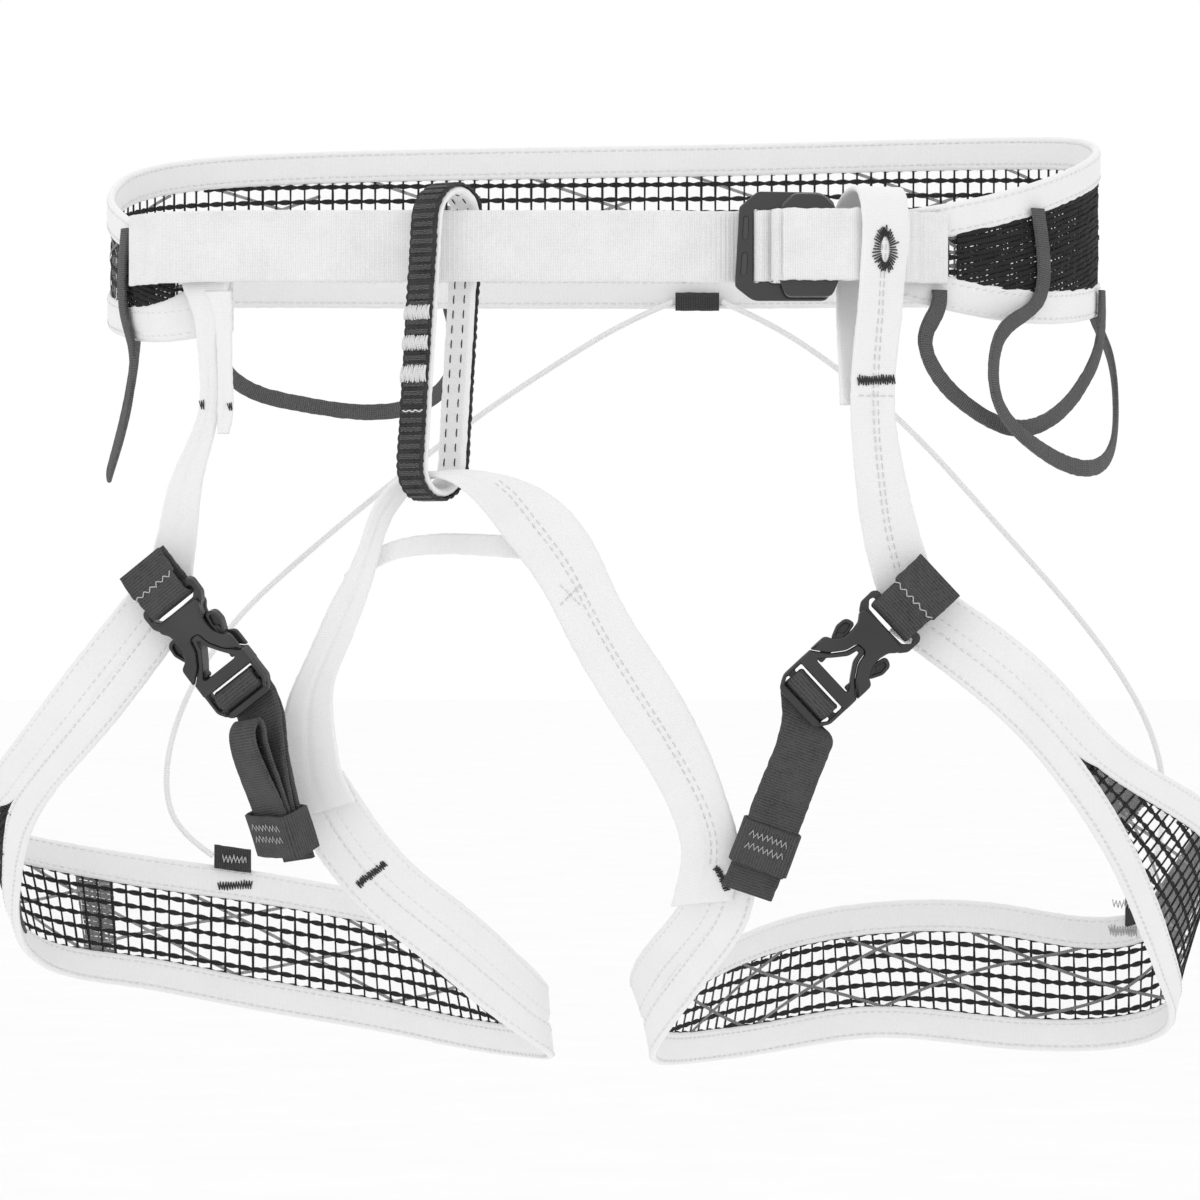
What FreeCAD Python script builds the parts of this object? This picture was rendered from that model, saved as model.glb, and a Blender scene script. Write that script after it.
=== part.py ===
import FreeCAD, Part
import math
import os

# Climbing harness, in millimetres: +Z up, +X across the waist, -Y in front of the wearer.
# The origin is the middle of the waist opening, level with the front webbing.

V = FreeCAD.Vector

doc = FreeCAD.newDocument("harness")
sheet = doc.addObject("Spreadsheet::Sheet", "Sizes")

SIZES = [
    ("webbing_width", 25.0),
    ("webbing_thick", 1.8),
    ("binding_width", 12.2),
    ("binding_thick", 3.0),
    ("mesh_thick", 1.6),
    ("strap_thick", 2.2),
    ("riser_width", 21.0),
    ("layer_gap", 0.4),
    ("seam_gap", 0.3),
    ("belay_width", 12.0),
    ("belay_core_thick", 2.6),
    ("belay_cover_thick", 0.9),
    ("belay_length", 110.0),
    ("belay_reach", 25.0),
    ("gear_width", 7.0),
    ("gear_thick", 3.0),
    ("cord_diameter", 2.2),
    ("frame_length", 35.0),
    ("frame_height", 38.5),
    ("plate_thick", 3.0),
    ("frame_bar", 6.2),
    ("frame_slot", 2.6),
    ("frame_rod", 2.8),
    ("frame_end_bar", 4.5),
    ("frame_chamfer", 6.0),
    ("slide_length", 21.0),
    ("slide_height", 37.0),
    ("slide_travel", 3.0),
    ("clip_width", 24.0),
    ("clip_rail", 1.6),
    ("clip_play", 0.4),
    ("strap_width", "=clip_width - 2 * clip_rail - 2 * clip_play"),
    ("clip_thick", 8.0),
    ("clip_wall", 1.6),
    ("clip_neck", 7.5),
    ("clip_waist", 5.0),
    ("clip_rim", 1.4),
    ("clip_shell", 29.5),
    ("clip_bar", 2.6),
    ("clip_slot", 3.6),
    ("clip_prong", 3.2),
    ("clip_pad", 4.8),
    ("clip_guide", 2.4),
    ("clip_gap", 0.4),
    ("ladder_bar", 2.6),
    ("ladder_slot", 3.4),
    ("keeper_height", 17.0),
    ("keeper_wall", 1.2),
    ("tab_thick", 2.0),
]
for row, (alias, value) in enumerate(SIZES, start=1):
    sheet.set(f"A{row}", alias)
    sheet.set(f"B{row}", str(value))
    sheet.setAlias(f"B{row}", alias)
doc.recompute()


def size(alias):
    return float(sheet.get(alias))


webbing_width = size("webbing_width")
webbing_thick = size("webbing_thick")
binding_width = size("binding_width")
binding_thick = size("binding_thick")
mesh_thick = size("mesh_thick")
strap_thick = size("strap_thick")
layer_gap = size("layer_gap")
seam_gap = size("seam_gap")
gear_width = size("gear_width")
gear_thick = size("gear_thick")
cord_diameter = size("cord_diameter")
plate_thick = size("plate_thick")
strap_width = size("strap_width")


# ---------------------------------------------------------------- ribbons

def spline(points, stops):
    curve = Part.BSplineCurve()
    curve.interpolate(Points=points, Parameters=stops)
    return curve


def smooth(pairs, steps):
    """Edge pairs (one edge, other edge) made finer along one smooth curve for each edge."""
    stops = [0.0]
    for (a, b), (c, d) in zip(pairs, pairs[1:]):
        stops.append(stops[-1] + ((c + d) - (a + b)).Length / 2)
    first = spline([a for a, b in pairs], stops)
    second = spline([b for a, b in pairs], stops)
    finer = []
    for low, high in zip(stops, stops[1:]):
        for step in range(steps):
            at = low + (high - low) * step / steps
            finer.append((first.value(at), second.value(at)))
    finer.append(pairs[-1])
    return finer


def frames(pairs):
    """For each edge pair: first edge, unit vector to the second, unit normal, distance between them."""
    middles = [(a + b) * 0.5 for a, b in pairs]
    rows = []
    for i, (a, b) in enumerate(pairs):
        ahead = middles[min(i + 1, len(pairs) - 1)]
        behind = middles[max(i - 1, 0)]
        across = (b - a).normalize()
        normal = (ahead - behind).cross(across).normalize()
        rows.append((a, across, normal, (b - a).Length))
    return rows


def ribbon(rows, start, end, thick, lift=0.0):
    """Solid of a flat strip: start and end give, from a row's width, where its two edges lie."""
    sections = []
    for origin, across, normal, width in rows:
        low = origin + across * start(width)
        high = origin + across * end(width)
        under = normal * (lift - thick / 2)
        over = normal * (lift + thick / 2)
        corners = [low + under, high + under, high + over, low + over]
        sections.append(Part.makePolygon(corners + corners[:1]))
    return Part.makeLoft(sections, True, True)


def whole(rows, thick, lift=0.0):
    return ribbon(rows, lambda width: 0.0, lambda width: width, thick, lift)


def strap(stations, steps, thick, lift=0.0):
    """Strap from stations (centre, direction across it, width)."""
    return whole(frames(smooth(strap_pairs(stations), steps)), thick, lift)


def strap_pairs(stations):
    pairs = []
    for centre, across, width in stations:
        half = V(*across).normalize() * (width / 2)
        pairs.append((V(*centre) - half, V(*centre) + half))
    return pairs


def feature(label, shape):
    item = doc.addObject("Part::Feature", label)
    item.Label = label
    item.Shape = shape
    return item


# ---------------------------------------------------------------- waist belt

# Middle line of the belt in plan, with the height of its top and bottom edge,
# from the left front end round the back to the right front end.
BELT = [
    (-129, -80, -8, -38), (-152, -71, -3, -41), (-170, -44, 6, -38), (-178, -5, 16, -32),
    (-174, 35, 27, -25), (-155, 64, 34, -22), (-115, 80, 38, -21), (-55, 86, 40, -21),
    (0, 87, 41, -21), (60, 86, 42, -21), (120, 79, 43, -21), (160, 58, 42, -23),
    (179, 22, 38, -26), (180, -12, 31, -29), (167, -42, 22, -33), (140, -64, 12, -33),
    (101, -79, 4, -25),
]
WEBBING_TOP = 4.0
BELT_STEPS = 3


def belt_rows():
    pairs = [(V(x, y, top), V(x, y, bottom)) for x, y, top, bottom in BELT]
    return frames(smooth(pairs, BELT_STEPS))


def make_belt():
    rows = belt_rows()
    inset = binding_width + seam_gap
    feature("waist_binding_top",
            ribbon(rows, lambda width: 0.0, lambda width: binding_width, binding_thick))
    feature("waist_binding_bottom",
            ribbon(rows, lambda width: width - binding_width, lambda width: width, binding_thick))
    feature("waist_panel_mesh",
            ribbon(rows, lambda width: inset, lambda width: width - inset, mesh_thick))


# Buckle: the frame's middle, and how the layers follow each other forward from it.
FRAME_LEFT = 47.0
FRAME_Y = -89.0
HALF_PLATE = plate_thick / 2
HALF_WEB = webbing_thick / 2
WEB_MIDDLE = WEBBING_TOP - webbing_width / 2
BEHIND_FRAME_Y = FRAME_Y + HALF_PLATE + layer_gap + HALF_WEB
RETURN_Y = FRAME_Y - HALF_PLATE - layer_gap - webbing_thick - layer_gap - HALF_WEB
SLIDE_Y = RETURN_Y - HALF_WEB - layer_gap - HALF_PLATE
BIGHT_Y = SLIDE_Y - HALF_PLATE - layer_gap - HALF_WEB
ROD_X = FRAME_LEFT + size("frame_bar") + size("frame_slot") + size("frame_rod") / 2
SLIDE_LEFT = ROD_X + 5.0
SLIDE_RIGHT = SLIDE_LEFT + size("slide_length")


def flat_pairs(plan, top, width):
    return [(V(x, y, top), V(x, y, top - width)) for x, y in plan]


def arc_plan(centre_x, centre_y, radius, first, last, count):
    plan = []
    for i in range(count + 1):
        turn = math.radians(first + (last - first) * i / count)
        plan.append((centre_x + radius * math.cos(turn), centre_y + radius * math.sin(turn)))
    return plan


def make_waist_webbing():
    top = WEBBING_TOP
    front = [(-166, -64), (-154, -79.5), (-136, -88), (-110, -91), (-50, -91), (0, -90), (28, -88)]
    rod_radius = size("frame_rod") / 2 + layer_gap + HALF_WEB
    near_rod = ROD_X - rod_radius
    loop = [(FRAME_LEFT - 6, BEHIND_FRAME_Y), (near_rod - 1.4, BEHIND_FRAME_Y),
            (near_rod - 0.4, BEHIND_FRAME_Y - 0.6), (near_rod, BEHIND_FRAME_Y - 1.6)]
    loop += arc_plan(ROD_X, FRAME_Y, rod_radius, 180, 360, 6)
    doubled_y = BEHIND_FRAME_Y + webbing_thick + layer_gap
    loop += [(ROD_X + rod_radius, BEHIND_FRAME_Y - 1.4), (ROD_X + rod_radius - 0.6, BEHIND_FRAME_Y + 0.6),
             (ROD_X, doubled_y - 0.2), (near_rod - 1, doubled_y), (FRAME_LEFT - 12, doubled_y)]
    rows = frames(smooth(flat_pairs(front + loop[:2], top, webbing_width), 3)[:-1]
                  + flat_pairs(loop[1:], top, webbing_width))
    feature("waist_webbing_front", whole(rows, webbing_thick))

    bight_radius = HALF_PLATE + layer_gap + HALF_WEB
    loose = SLIDE_RIGHT + size("slide_travel") + 1.5
    sloping = [(122, -75.5), (110, -83.4), (99, -91.5), (92.5, -97), (loose, BIGHT_Y)]
    level = [(SLIDE_RIGHT - 4, BIGHT_Y), (SLIDE_LEFT + 10, BIGHT_Y), (SLIDE_LEFT + bight_radius, BIGHT_Y)]
    bend = arc_plan(SLIDE_LEFT + 1, SLIDE_Y, bight_radius, 270, 90, 6)
    back = [(SLIDE_LEFT + 8, RETURN_Y), (SLIDE_LEFT + 15, RETURN_Y)]
    pairs = smooth(flat_pairs(sloping, top, webbing_width), 2)
    pairs += flat_pairs(level + bend + back, top, webbing_width)
    rows = frames(pairs)
    feature("waist_webbing_right", whole(rows, webbing_thick))
    feature("waist_webbing_tail", whole(rows[2:11], webbing_thick, webbing_thick + layer_gap))


def bind(item, **cells):
    for name, expression in cells.items():
        item.setExpression(name, expression)


def box(name, **cells):
    item = doc.addObject("Part::Box", name)
    for key, expression in cells.items():
        path = {"X": ".Placement.Base.x", "Y": ".Placement.Base.y", "Z": ".Placement.Base.z"}.get(key, key)
        item.setExpression(path, expression)
    return item


def cylinder(name, radius, height):
    item = doc.addObject("Part::Cylinder", name)
    item.setExpression("Radius", radius)
    item.setExpression("Height", height)
    return item


def fused(name, items):
    item = doc.addObject("Part::MultiFuse", name)
    item.Shapes = items
    return item


def cut(name, base, tool):
    item = doc.addObject("Part::Cut", name)
    item.Base = base
    item.Tool = tool
    return item


S = "Sizes."


def make_waist_buckle():
    """Octagonal plate with a slot for the webbing loop, a round rod and a window."""
    plate = box("frame_plate", Length=S + "frame_length", Width=S + "plate_thick", Height=S + "frame_height")
    corners = doc.addObject("Part::Chamfer", "frame_corners")
    corners.Base = plate
    doc.recompute()
    upright = []
    for number, edge in enumerate(plate.Shape.Edges, start=1):
        along = edge.Vertexes[1].Point - edge.Vertexes[0].Point
        if abs(along.y) > plate_thick / 2:
            upright.append((number, size("frame_chamfer"), size("frame_chamfer")))
    corners.Edges = upright
    rim = f"({S}frame_height - {S}webbing_width) / 2 - 0.8"
    opening = box("frame_opening", Length=f"{S}frame_length - {S}frame_bar - {S}frame_end_bar",
                  Width=f"{S}plate_thick * 3", Height=f"{S}frame_height - 2 * ({rim})",
                  X=f"{S}frame_bar", Y=f"-{S}plate_thick", Z=rim)
    ring = cut("frame_ring", corners, opening)
    rod = cylinder("frame_rod_bar", f"{S}frame_rod / 2", f"{S}frame_height - 2")
    bind(rod, **{".Placement.Base.x": f"{S}frame_bar + {S}frame_slot + {S}frame_rod / 2",
                 ".Placement.Base.y": f"{S}plate_thick / 2", ".Placement.Base.z": "1"})
    frame = fused("waist_buckle_frame", [ring, rod])
    frame.Label = "waist_buckle_frame"
    frame.Placement.Base = V(FRAME_LEFT, FRAME_Y - HALF_PLATE, WEB_MIDDLE - size("frame_height") / 2)

    slab = box("slide_slab", Length=S + "slide_length", Width=S + "plate_thick", Height=S + "slide_height")
    slide = doc.addObject("Part::Fillet", "waist_buckle_slide")
    slide.Label = "waist_buckle_slide"
    slide.Base = slab
    doc.recompute()
    rounded = []
    for number, edge in enumerate(slab.Shape.Edges, start=1):
        along = edge.Vertexes[1].Point - edge.Vertexes[0].Point
        if abs(along.y) > plate_thick / 2:
            rounded.append((number, plate_thick, plate_thick))
    slide.Edges = rounded
    slide.Placement.Base = V(SLIDE_LEFT, SLIDE_Y - HALF_PLATE, WEB_MIDDLE - size("slide_height") / 2)


# ---------------------------------------------------------------- belay loop

BELAY_MIDDLE = V(-59, -91, 0)
BELAY_TOP = 13.0
BELAY_AXIS = V(0.62, 0.78, 0).normalize()


def belay_ring(inner, thick):
    """Closed upright loop: two limbs joined by half circles; inner is the gap between the limbs."""
    width = size("belay_width")
    outside = inner + 2 * thick
    straight = size("belay_length") - size("belay_reach")
    low = BELAY_TOP - size("belay_length") + size("belay_reach") / 2

    def slab(gap):
        half = gap / 2
        top = low + straight
        points = [V(-half, 0, low), V(-half, 0, top), V(0, 0, top + half), V(half, 0, top),
                  V(half, 0, low), V(0, 0, low - half)]
        edges = [Part.makeLine(points[0], points[1]), Part.Arc(*points[1:4]).toShape(),
                 Part.makeLine(points[3], points[4]), Part.Arc(points[4], points[5], points[0]).toShape()]
        face = Part.Face(Part.Wire(edges))
        face.translate(V(0, -width / 2, 0))
        return face.extrude(V(0, width, 0))

    ring = slab(outside).cut(slab(inner))
    turn = math.degrees(math.atan2(BELAY_AXIS.y, BELAY_AXIS.x))
    ring.rotate(V(0, 0, 0), V(0, 0, 1), turn)
    ring.translate(BELAY_MIDDLE)
    return ring


def make_belay_loop():
    cover = size("belay_cover_thick")
    core = size("belay_core_thick")
    reach = size("belay_reach")
    feature("belay_loop_cover", belay_ring(reach - 2 * cover, cover))
    feature("belay_loop_core", belay_ring(reach - 2 * cover - 2 * core - 0.2, core))


# ---------------------------------------------------------------- risers and crosspiece

def make_risers():
    wide = size("riser_width")
    stations = [
        ((92, -91.2, -64), (0.9, 0.34, 0), 17), ((91, -88.5, -50), (0.93, 0.32, 0), 18),
        ((89.5, -83, -36), (0.95, 0.3, 0), wide), ((88.5, -79.5, -22), (0.95, 0.3, 0), wide),
        ((89, -79.5, -6), (0.95, 0.3, 0), wide), ((90.3, -81.3, 5), (0.93, 0.36, 0), wide),
        ((95, -87, 10.5), (0.87, 0.48, 0), wide), ((97.6, -94, 10.5), (0.82, 0.56, 0), wide),
        ((99, -98, 4), (0.8, 0.6, 0), wide), ((99.3, -98.6, -6), (0.8, 0.6, 0), wide),
        ((99, -98.3, -18), (0.8, 0.6, 0), wide), ((97.5, -97, -34), (0.84, 0.5, 0), wide),
        ((96, -95.2, -50), (0.88, 0.38, 0), wide), ((95.4, -93.6, -66), (0.93, 0.3, 0.05), wide),
        ((98, -88.5, -90), (0.98, 0.15, 0.1), wide), ((101.5, -85.8, -108), (0.97, 0, 0.2), wide),
        ((108, -85.6, -130), (0.93, 0, 0.36), wide),
    ]
    feature("riser_right", strap(stations, 3, strap_thick))

    lie = (0.92, -0.38, 0)
    folded = strap_thick * 2
    hang = [((-138, -82.4, 2), lie, wide), ((-138, -82.4, -12), lie, wide),
            ((-137, -83.2, -24), lie, 18), ((-133.5, -84, -38), (0.95, -0.2, 0), 11),
            ((-134.5, -84.5, -55), (0.95, -0.1, 0), 11), ((-137, -85, -74), (0.95, 0, 0.15), 11.5),
            ((-141, -85.6, -93), (0.95, 0, 0.2), 15), ((-146.5, -86, -110), (0.93, 0, 0.3), 18),
            ((-152, -85.7, -128), (0.9, 0, 0.4), wide)]
    feature("riser_left", strap(hang, 3, strap_thick))
    tail = [((-134, -86.6, -28), lie, 12), ((-133, -86.8, -38), (0.95, -0.2, 0), 12),
            ((-133, -87.3, -55), (0.95, -0.1, 0), 12), ((-134.5, -87.8, -72), (0.95, 0, 0.15), 11)]
    feature("riser_left_tail", strap(tail, 3, folded - strap_thick - layer_gap))


def make_crosspiece():
    full = webbing_width - 1
    stations = [
        ((-97.5, -72.8, -206), (1, 0, 0.3), full), ((-101.5, -77, -194), (1, 0, 0.2), full),
        ((-103, -78.8, -182), (1, 0, 0.1), full), ((-102, -79.5, -165), (0.95, 0, 0.2), 23),
        ((-94, -81, -138), (0.88, 0, -0.4), 21), ((-85, -82, -117), (0.88, 0.2, -0.36), 18),
        ((-75, -82.5, -99), (0.75, 0.55, -0.4), 14), ((-67.5, -84.5, -90.5), (0.64, 0.74, -0.2), 11.5),
        ((-59, -91, -88), (0.62, 0.78, 0), 11), ((-50, -95.6, -88.5), (0.6, 0.78, 0.2), 12.5),
        ((-38, -93.5, -93), (0.66, 0.55, 0.5), 17), ((-26, -89, -102), (0.74, 0.1, 0.62), 22),
        ((-12, -85.5, -119), (0.77, 0, 0.6), full),
        ((-2, -82.5, -138), (0.78, 0, 0.58), full), ((15.5, -80.5, -164), (0.85, 0, 0.5), full),
        ((28.5, -78.6, -190), (0.95, 0, 0.3), 22), ((37, -76.2, -211), (0.97, -0.02, 0.2), 20),
        ((38.6, -74.2, -217.5), (0.97, -0.05, 0.18), 19), ((38.4, -69, -229), (0.97, -0.1, 0.15), 19),
    ]
    feature("crosspiece_strap", strap(stations, 3, strap_thick))
    link = [((-89, -78.2, -126), (-0.3, 0, 0.95), 6), ((-80, -76.8, -118), (-0.4, 0, 0.9), 6.5),
            ((-65, -78, -113), (0, 0, 1), 7), ((-45, -80.5, -112.5), (0, 0, 1), 7.5),
            ((-28, -82.5, -113.5), (0, 0, 1), 8), ((-17, -82.7, -114), (0.1, 0, 1), 8)]
    feature("cross_link", strap(link, 3, 1.6))


# ---------------------------------------------------------------- leg loops

# Upper and lower edge of each leg loop: down the outside from the anchor webbing,
# round the back, and up the inside of the thigh to the end of the crosspiece.
LEG_EDGES = {
    "left": [
        ((-164.5, -82.4, -128.5), (-148, -82.4, -146)), ((-191, -72, -161), (-173, -74, -178)),
        ((-209, -52, -183), (-191, -56, -197)), ((-222, -26, -197), (-204, -34, -215)),
        ((-230, 6, -206), (-212, -3, -238)), ((-229, 38, -215), (-214, 33, -261)),
        ((-213, 62, -221), (-203, 60, -273)), ((-178, 76, -228), (-176, 75, -279)),
        ((-130, 79, -235), (-130, 79, -288)), ((-88, 71, -242), (-85, 71, -295)),
        ((-61, 51, -247), (-52, 52, -300)), ((-41, 27, -255), (-31, 26, -301)),
        ((-26, 4, -266), (-19, 2, -300)), ((-20, -15, -271), (-20, -18, -296)),
        ((-29, -31, -260), (-39, -37, -281)), ((-47, -46, -242), (-62, -50, -261)),
        ((-67, -57, -225), (-85, -59, -241)), ((-81, -66, -207), (-103, -67, -217)),
        ((-90, -73.5, -192.5), (-114, -73.5, -194)),
    ],
    "right": [
        ((118, -82.2, -126), (101, -82.2, -143)), ((160, -75, -158), (143, -77, -176)),
        ((181, -58, -180), (162, -64, -197)), ((205, -32, -196), (181, -43, -224)),
        ((226, -2, -209), (196, -12, -252)), ((232, 28, -223), (208, 19, -277)),
        ((221, 54, -240), (212, 46, -293)), ((198, 69, -251), (198, 67, -301)),
        ((151, 77, -247), (151, 76, -302)), ((97, 72, -247), (102, 73, -298)),
        ((67, 52, -252), (62, 51, -302)), ((46, 28, -259), (38, 26, -303)),
        ((28, 5, -267), (23, 2, -302)), ((13, -14, -271), (20, -17, -296)),
        ((13, -29, -262), (31, -34, -279)), ((21, -45, -250), (42, -49, -263)),
        ((29, -57, -238), (52, -60, -247)), ((33, -69.5, -216), (56, -71, -218)),
    ],
}
LEG_STEPS = 3
MESH_ROWS = (2, 13)
BRACE_ROWS = (12, 16)
TAB_ROW = {"left": 8, "right": 7}
TAB_ABOVE = 8.0
TAB_BELOW = 5.0
PATCH_THICK = 1.2
PATCH_INSET = 4.0


def make_leg_loop(side):
    raw = [(V(*top), V(*bottom)) for top, bottom in LEG_EDGES[side]]
    rows = frames(smooth(raw, LEG_STEPS))
    half = (webbing_width - seam_gap) / 2
    feature(f"leg_binding_top_{side}",
            ribbon(rows, lambda width: 0.0, lambda width: half_of(width), binding_thick))
    feature(f"leg_binding_bottom_{side}",
            ribbon(rows, lambda width: width - half_of(width), lambda width: width, binding_thick))
    inside = rows[MESH_ROWS[0] * LEG_STEPS + 2:MESH_ROWS[1] * LEG_STEPS - 2]
    feature(f"leg_mesh_{side}",
            ribbon(inside, lambda width: half_of(width) + seam_gap,
                   lambda width: width - half_of(width) - seam_gap, mesh_thick))
    inward = binding_thick / 2 + layer_gap + PATCH_THICK / 2
    inner = inward * leg_inside(rows)
    patch = rows[MESH_ROWS[0] * LEG_STEPS - 2:MESH_ROWS[0] * LEG_STEPS + 4]
    feature(f"leg_fork_patch_{side}",
            ribbon(patch, lambda width: PATCH_INSET, lambda width: width - PATCH_INSET, PATCH_THICK, inner))
    brace = rows[BRACE_ROWS[0]:BRACE_ROWS[1]]
    feature(f"leg_cross_strap_{side}",
            ribbon(brace, lambda width: PATCH_INSET, lambda width: width - PATCH_INSET, PATCH_THICK, inner))
    place = TAB_ROW[side] * LEG_STEPS
    tab = rows[place - 1:place + 1]
    feature(f"leg_elastic_tab_{side}",
            ribbon(tab, lambda width: -TAB_ABOVE, lambda width: TAB_BELOW, size("tab_thick"),
                   (binding_thick / 2 + layer_gap + size("tab_thick") / 2) * leg_inside(rows)))


def half_of(width):
    return min(binding_width, (width - seam_gap) / 2)


def leg_inside(rows):
    """1 or -1: which way along the normals the thigh lies."""
    middle = V(0, 0, 0)
    for origin, across, normal, width in rows:
        middle = middle + origin
    middle = middle * (1 / len(rows))
    origin, across, normal, width = rows[len(rows) // 2]
    return 1 if normal.dot(middle - origin) > 0 else -1


# Side-release buckles: the bar's middle, and the direction from it to the other half.
CLIPS = {
    "left": {"bar": V(-150, -95.4, -131), "along": V(0.611, 0, -0.791), "front": V(-0.334, -0.906, -0.258),
             "anchor": 15.5},
    "right": {"bar": V(103.2, -91.6, -137.6), "along": V(-0.73, 0, -0.68), "front": V(0, -1, 0),
              "anchor": 21.0},
}
MALE_BASE = size("clip_shell") + size("clip_gap")
MALE_BASE_LENGTH = 5.5
LADDER_START = MALE_BASE + MALE_BASE_LENGTH
LADDER_LENGTH = 2 * size("ladder_bar") + 2 * size("ladder_slot")
TONGUE = 14.0
PAD_LENGTH = 9.0
PAD_OUT = 3.2  # from a prong's middle to its finger pad's
THROUGH = "20"  # longer than any wall a slot goes through
HALF_THROUGH = "-10"
CORNER = math.sqrt(0.5)  # from a square bar's middle to its corner, as a share of its side


def clip_placement(side):
    """Turns the buckle's own frame (X along it, Z towards the front) to where it hangs."""
    along = V(*CLIPS[side]["along"]).normalize()
    across = CLIPS[side]["front"].cross(along).normalize()
    front = along.cross(across)
    matrix = FreeCAD.Matrix(along.x, across.x, front.x, 0, along.y, across.y, front.y, 0,
                            along.z, across.z, front.z, 0, 0, 0, 0, 1)
    return FreeCAD.Placement(CLIPS[side]["bar"], FreeCAD.Placement(matrix).Rotation)


def make_female(side):
    """Webbing bar, neck, and a front and a back plate with a notch at the mouth."""
    tag = f"female_{side}_"
    bar = box(tag + "bar", Length=f"{S}clip_bar * 2 + {S}clip_slot + {S}clip_rim", Width=S + "clip_width",
              Height=S + "clip_bar", X=f"-{S}clip_bar / 2", Y=f"-{S}clip_width / 2", Z=f"-{S}clip_bar / 2")
    slot = box(tag + "slot", Length=S + "clip_slot", Width=f"{S}strap_width + 2 * {S}clip_play", Height=THROUGH,
               X=f"{S}clip_bar / 2", Y=f"-{S}strap_width / 2 - {S}clip_play", Z=HALF_THROUGH)
    neck = box(tag + "neck", Length=f"{S}clip_neck", Width=f"{S}clip_width - {S}clip_waist",
               Height=S + "clip_thick", X=f"{S}clip_bar / 2 + {S}clip_slot + {S}clip_rim",
               Y=f"-({S}clip_width - {S}clip_waist) / 2", Z=f"-{S}clip_thick / 2")
    shell = box(tag + "shell", Length=f"{S}clip_shell - ({S}clip_neck + 4)", Width=S + "clip_width",
                Height=S + "clip_thick", X=f"{S}clip_neck + 4", Y=f"-{S}clip_width / 2",
                Z=f"-{S}clip_thick / 2")
    hollow = box(tag + "hollow", Length=S + "clip_shell", Width=f"{S}clip_width + 2",
                 Height=f"{S}clip_thick - 2 * {S}clip_wall",
                 X=f"{S}clip_bar / 2 + {S}clip_slot + {S}clip_rim + {S}clip_neck",
                 Y=f"-{S}clip_width / 2 - 1", Z=f"-{S}clip_thick / 2 + {S}clip_wall")
    notch = doc.addObject("Part::Wedge", tag + "notch")
    notch.Xmin, notch.Xmax, notch.X2min, notch.X2max = -6.5, 6.5, -1.5, 1.5
    notch.Ymin, notch.Ymax = 0, 12
    notch.Zmin, notch.Zmax, notch.Z2min, notch.Z2max = -10, 10, -10, 10
    notch.Placement = FreeCAD.Placement(V(size("clip_shell") + 0.01, 0, 0),
                                        FreeCAD.Rotation(V(0, 0, 1), 90))
    body = fused(tag + "solid", [bar, neck, shell])
    opened = cut(tag + "opened", body, fused(tag + "voids", [slot, hollow, notch]))
    opened.Label = f"leg_buckle_female_{side}"
    opened.Placement = clip_placement(side)


def make_male(side):
    """Base with a triangular window, two prongs with finger pads, and a ladder for the strap."""
    tag = f"male_{side}_"
    base = box(tag + "base", Length=str(MALE_BASE_LENGTH), Width=f"{S}clip_width - 2",
               Height=f"{S}clip_thick - 1", X=str(MALE_BASE), Y=f"-({S}clip_width - 2) / 2",
               Z=f"-({S}clip_thick - 1) / 2")
    ladder = box(tag + "ladder", Length=f"2 * {S}ladder_bar + 2 * {S}ladder_slot", Width=S + "clip_width",
                 Height=S + "ladder_bar", X=str(LADDER_START), Y=f"-{S}clip_width / 2",
                 Z=f"-{S}ladder_bar / 2")
    tongue_height = f"{S}clip_thick - 2 * {S}clip_wall - 2 * {S}clip_gap"
    low = f"-({tongue_height}) / 2"
    solids = [base, ladder]
    for name, sign in (("upper", 1), ("lower", -1)):
        middle = f"{sign} * ({S}clip_width / 2 - {S}clip_prong - {S}clip_pad / 2)"
        prong = box(tag + name, Length=str(TONGUE + 1), Width=S + "clip_prong", Height=tongue_height,
                    X=str(MALE_BASE - TONGUE), Y=f"{middle} - {S}clip_prong / 2", Z=low)
        pad = box(tag + name + "_pad", Length=str(PAD_LENGTH), Width=S + "clip_pad", Height=tongue_height,
                  X=str(MALE_BASE - TONGUE), Y=f"{middle} + {sign} * {PAD_OUT} - {S}clip_pad / 2", Z=low)
        solids += [prong, pad]
    guide = box(tag + "guide", Length=str(TONGUE - 2), Width=S + "clip_guide", Height=tongue_height,
                X=str(MALE_BASE - TONGUE + 3), Y=f"-{S}clip_guide / 2", Z=low)
    solids.append(guide)
    voids = []
    for number, offset in enumerate((0.0, 1.0)):
        voids.append(box(f"{tag}slot_{number}", Length=S + "ladder_slot", Width=f"{S}strap_width + 2 * {S}clip_play",
                         Height=THROUGH,
                         X=f"{LADDER_START} + {offset} * ({S}ladder_bar + {S}ladder_slot)",
                         Y=f"-{S}strap_width / 2 - {S}clip_play", Z=HALF_THROUGH))
    male = cut(tag + "cut", fused(tag + "solid", solids), fused(tag + "voids", voids))
    male.Label = f"leg_buckle_male_{side}"
    male.Placement = clip_placement(side)


def in_clip(side, along, across, front):
    return clip_placement(side).multVec(V(along, across, front))


def clip_pairs(side, path, width):
    """Edge pairs across the buckle for a strap that follows path, (along, front) in its own frame."""
    half = width / 2
    return [(in_clip(side, x, -half, z), in_clip(side, x, half, z)) for x, z in path]


ANCHOR_DROP = 0.8


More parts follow.
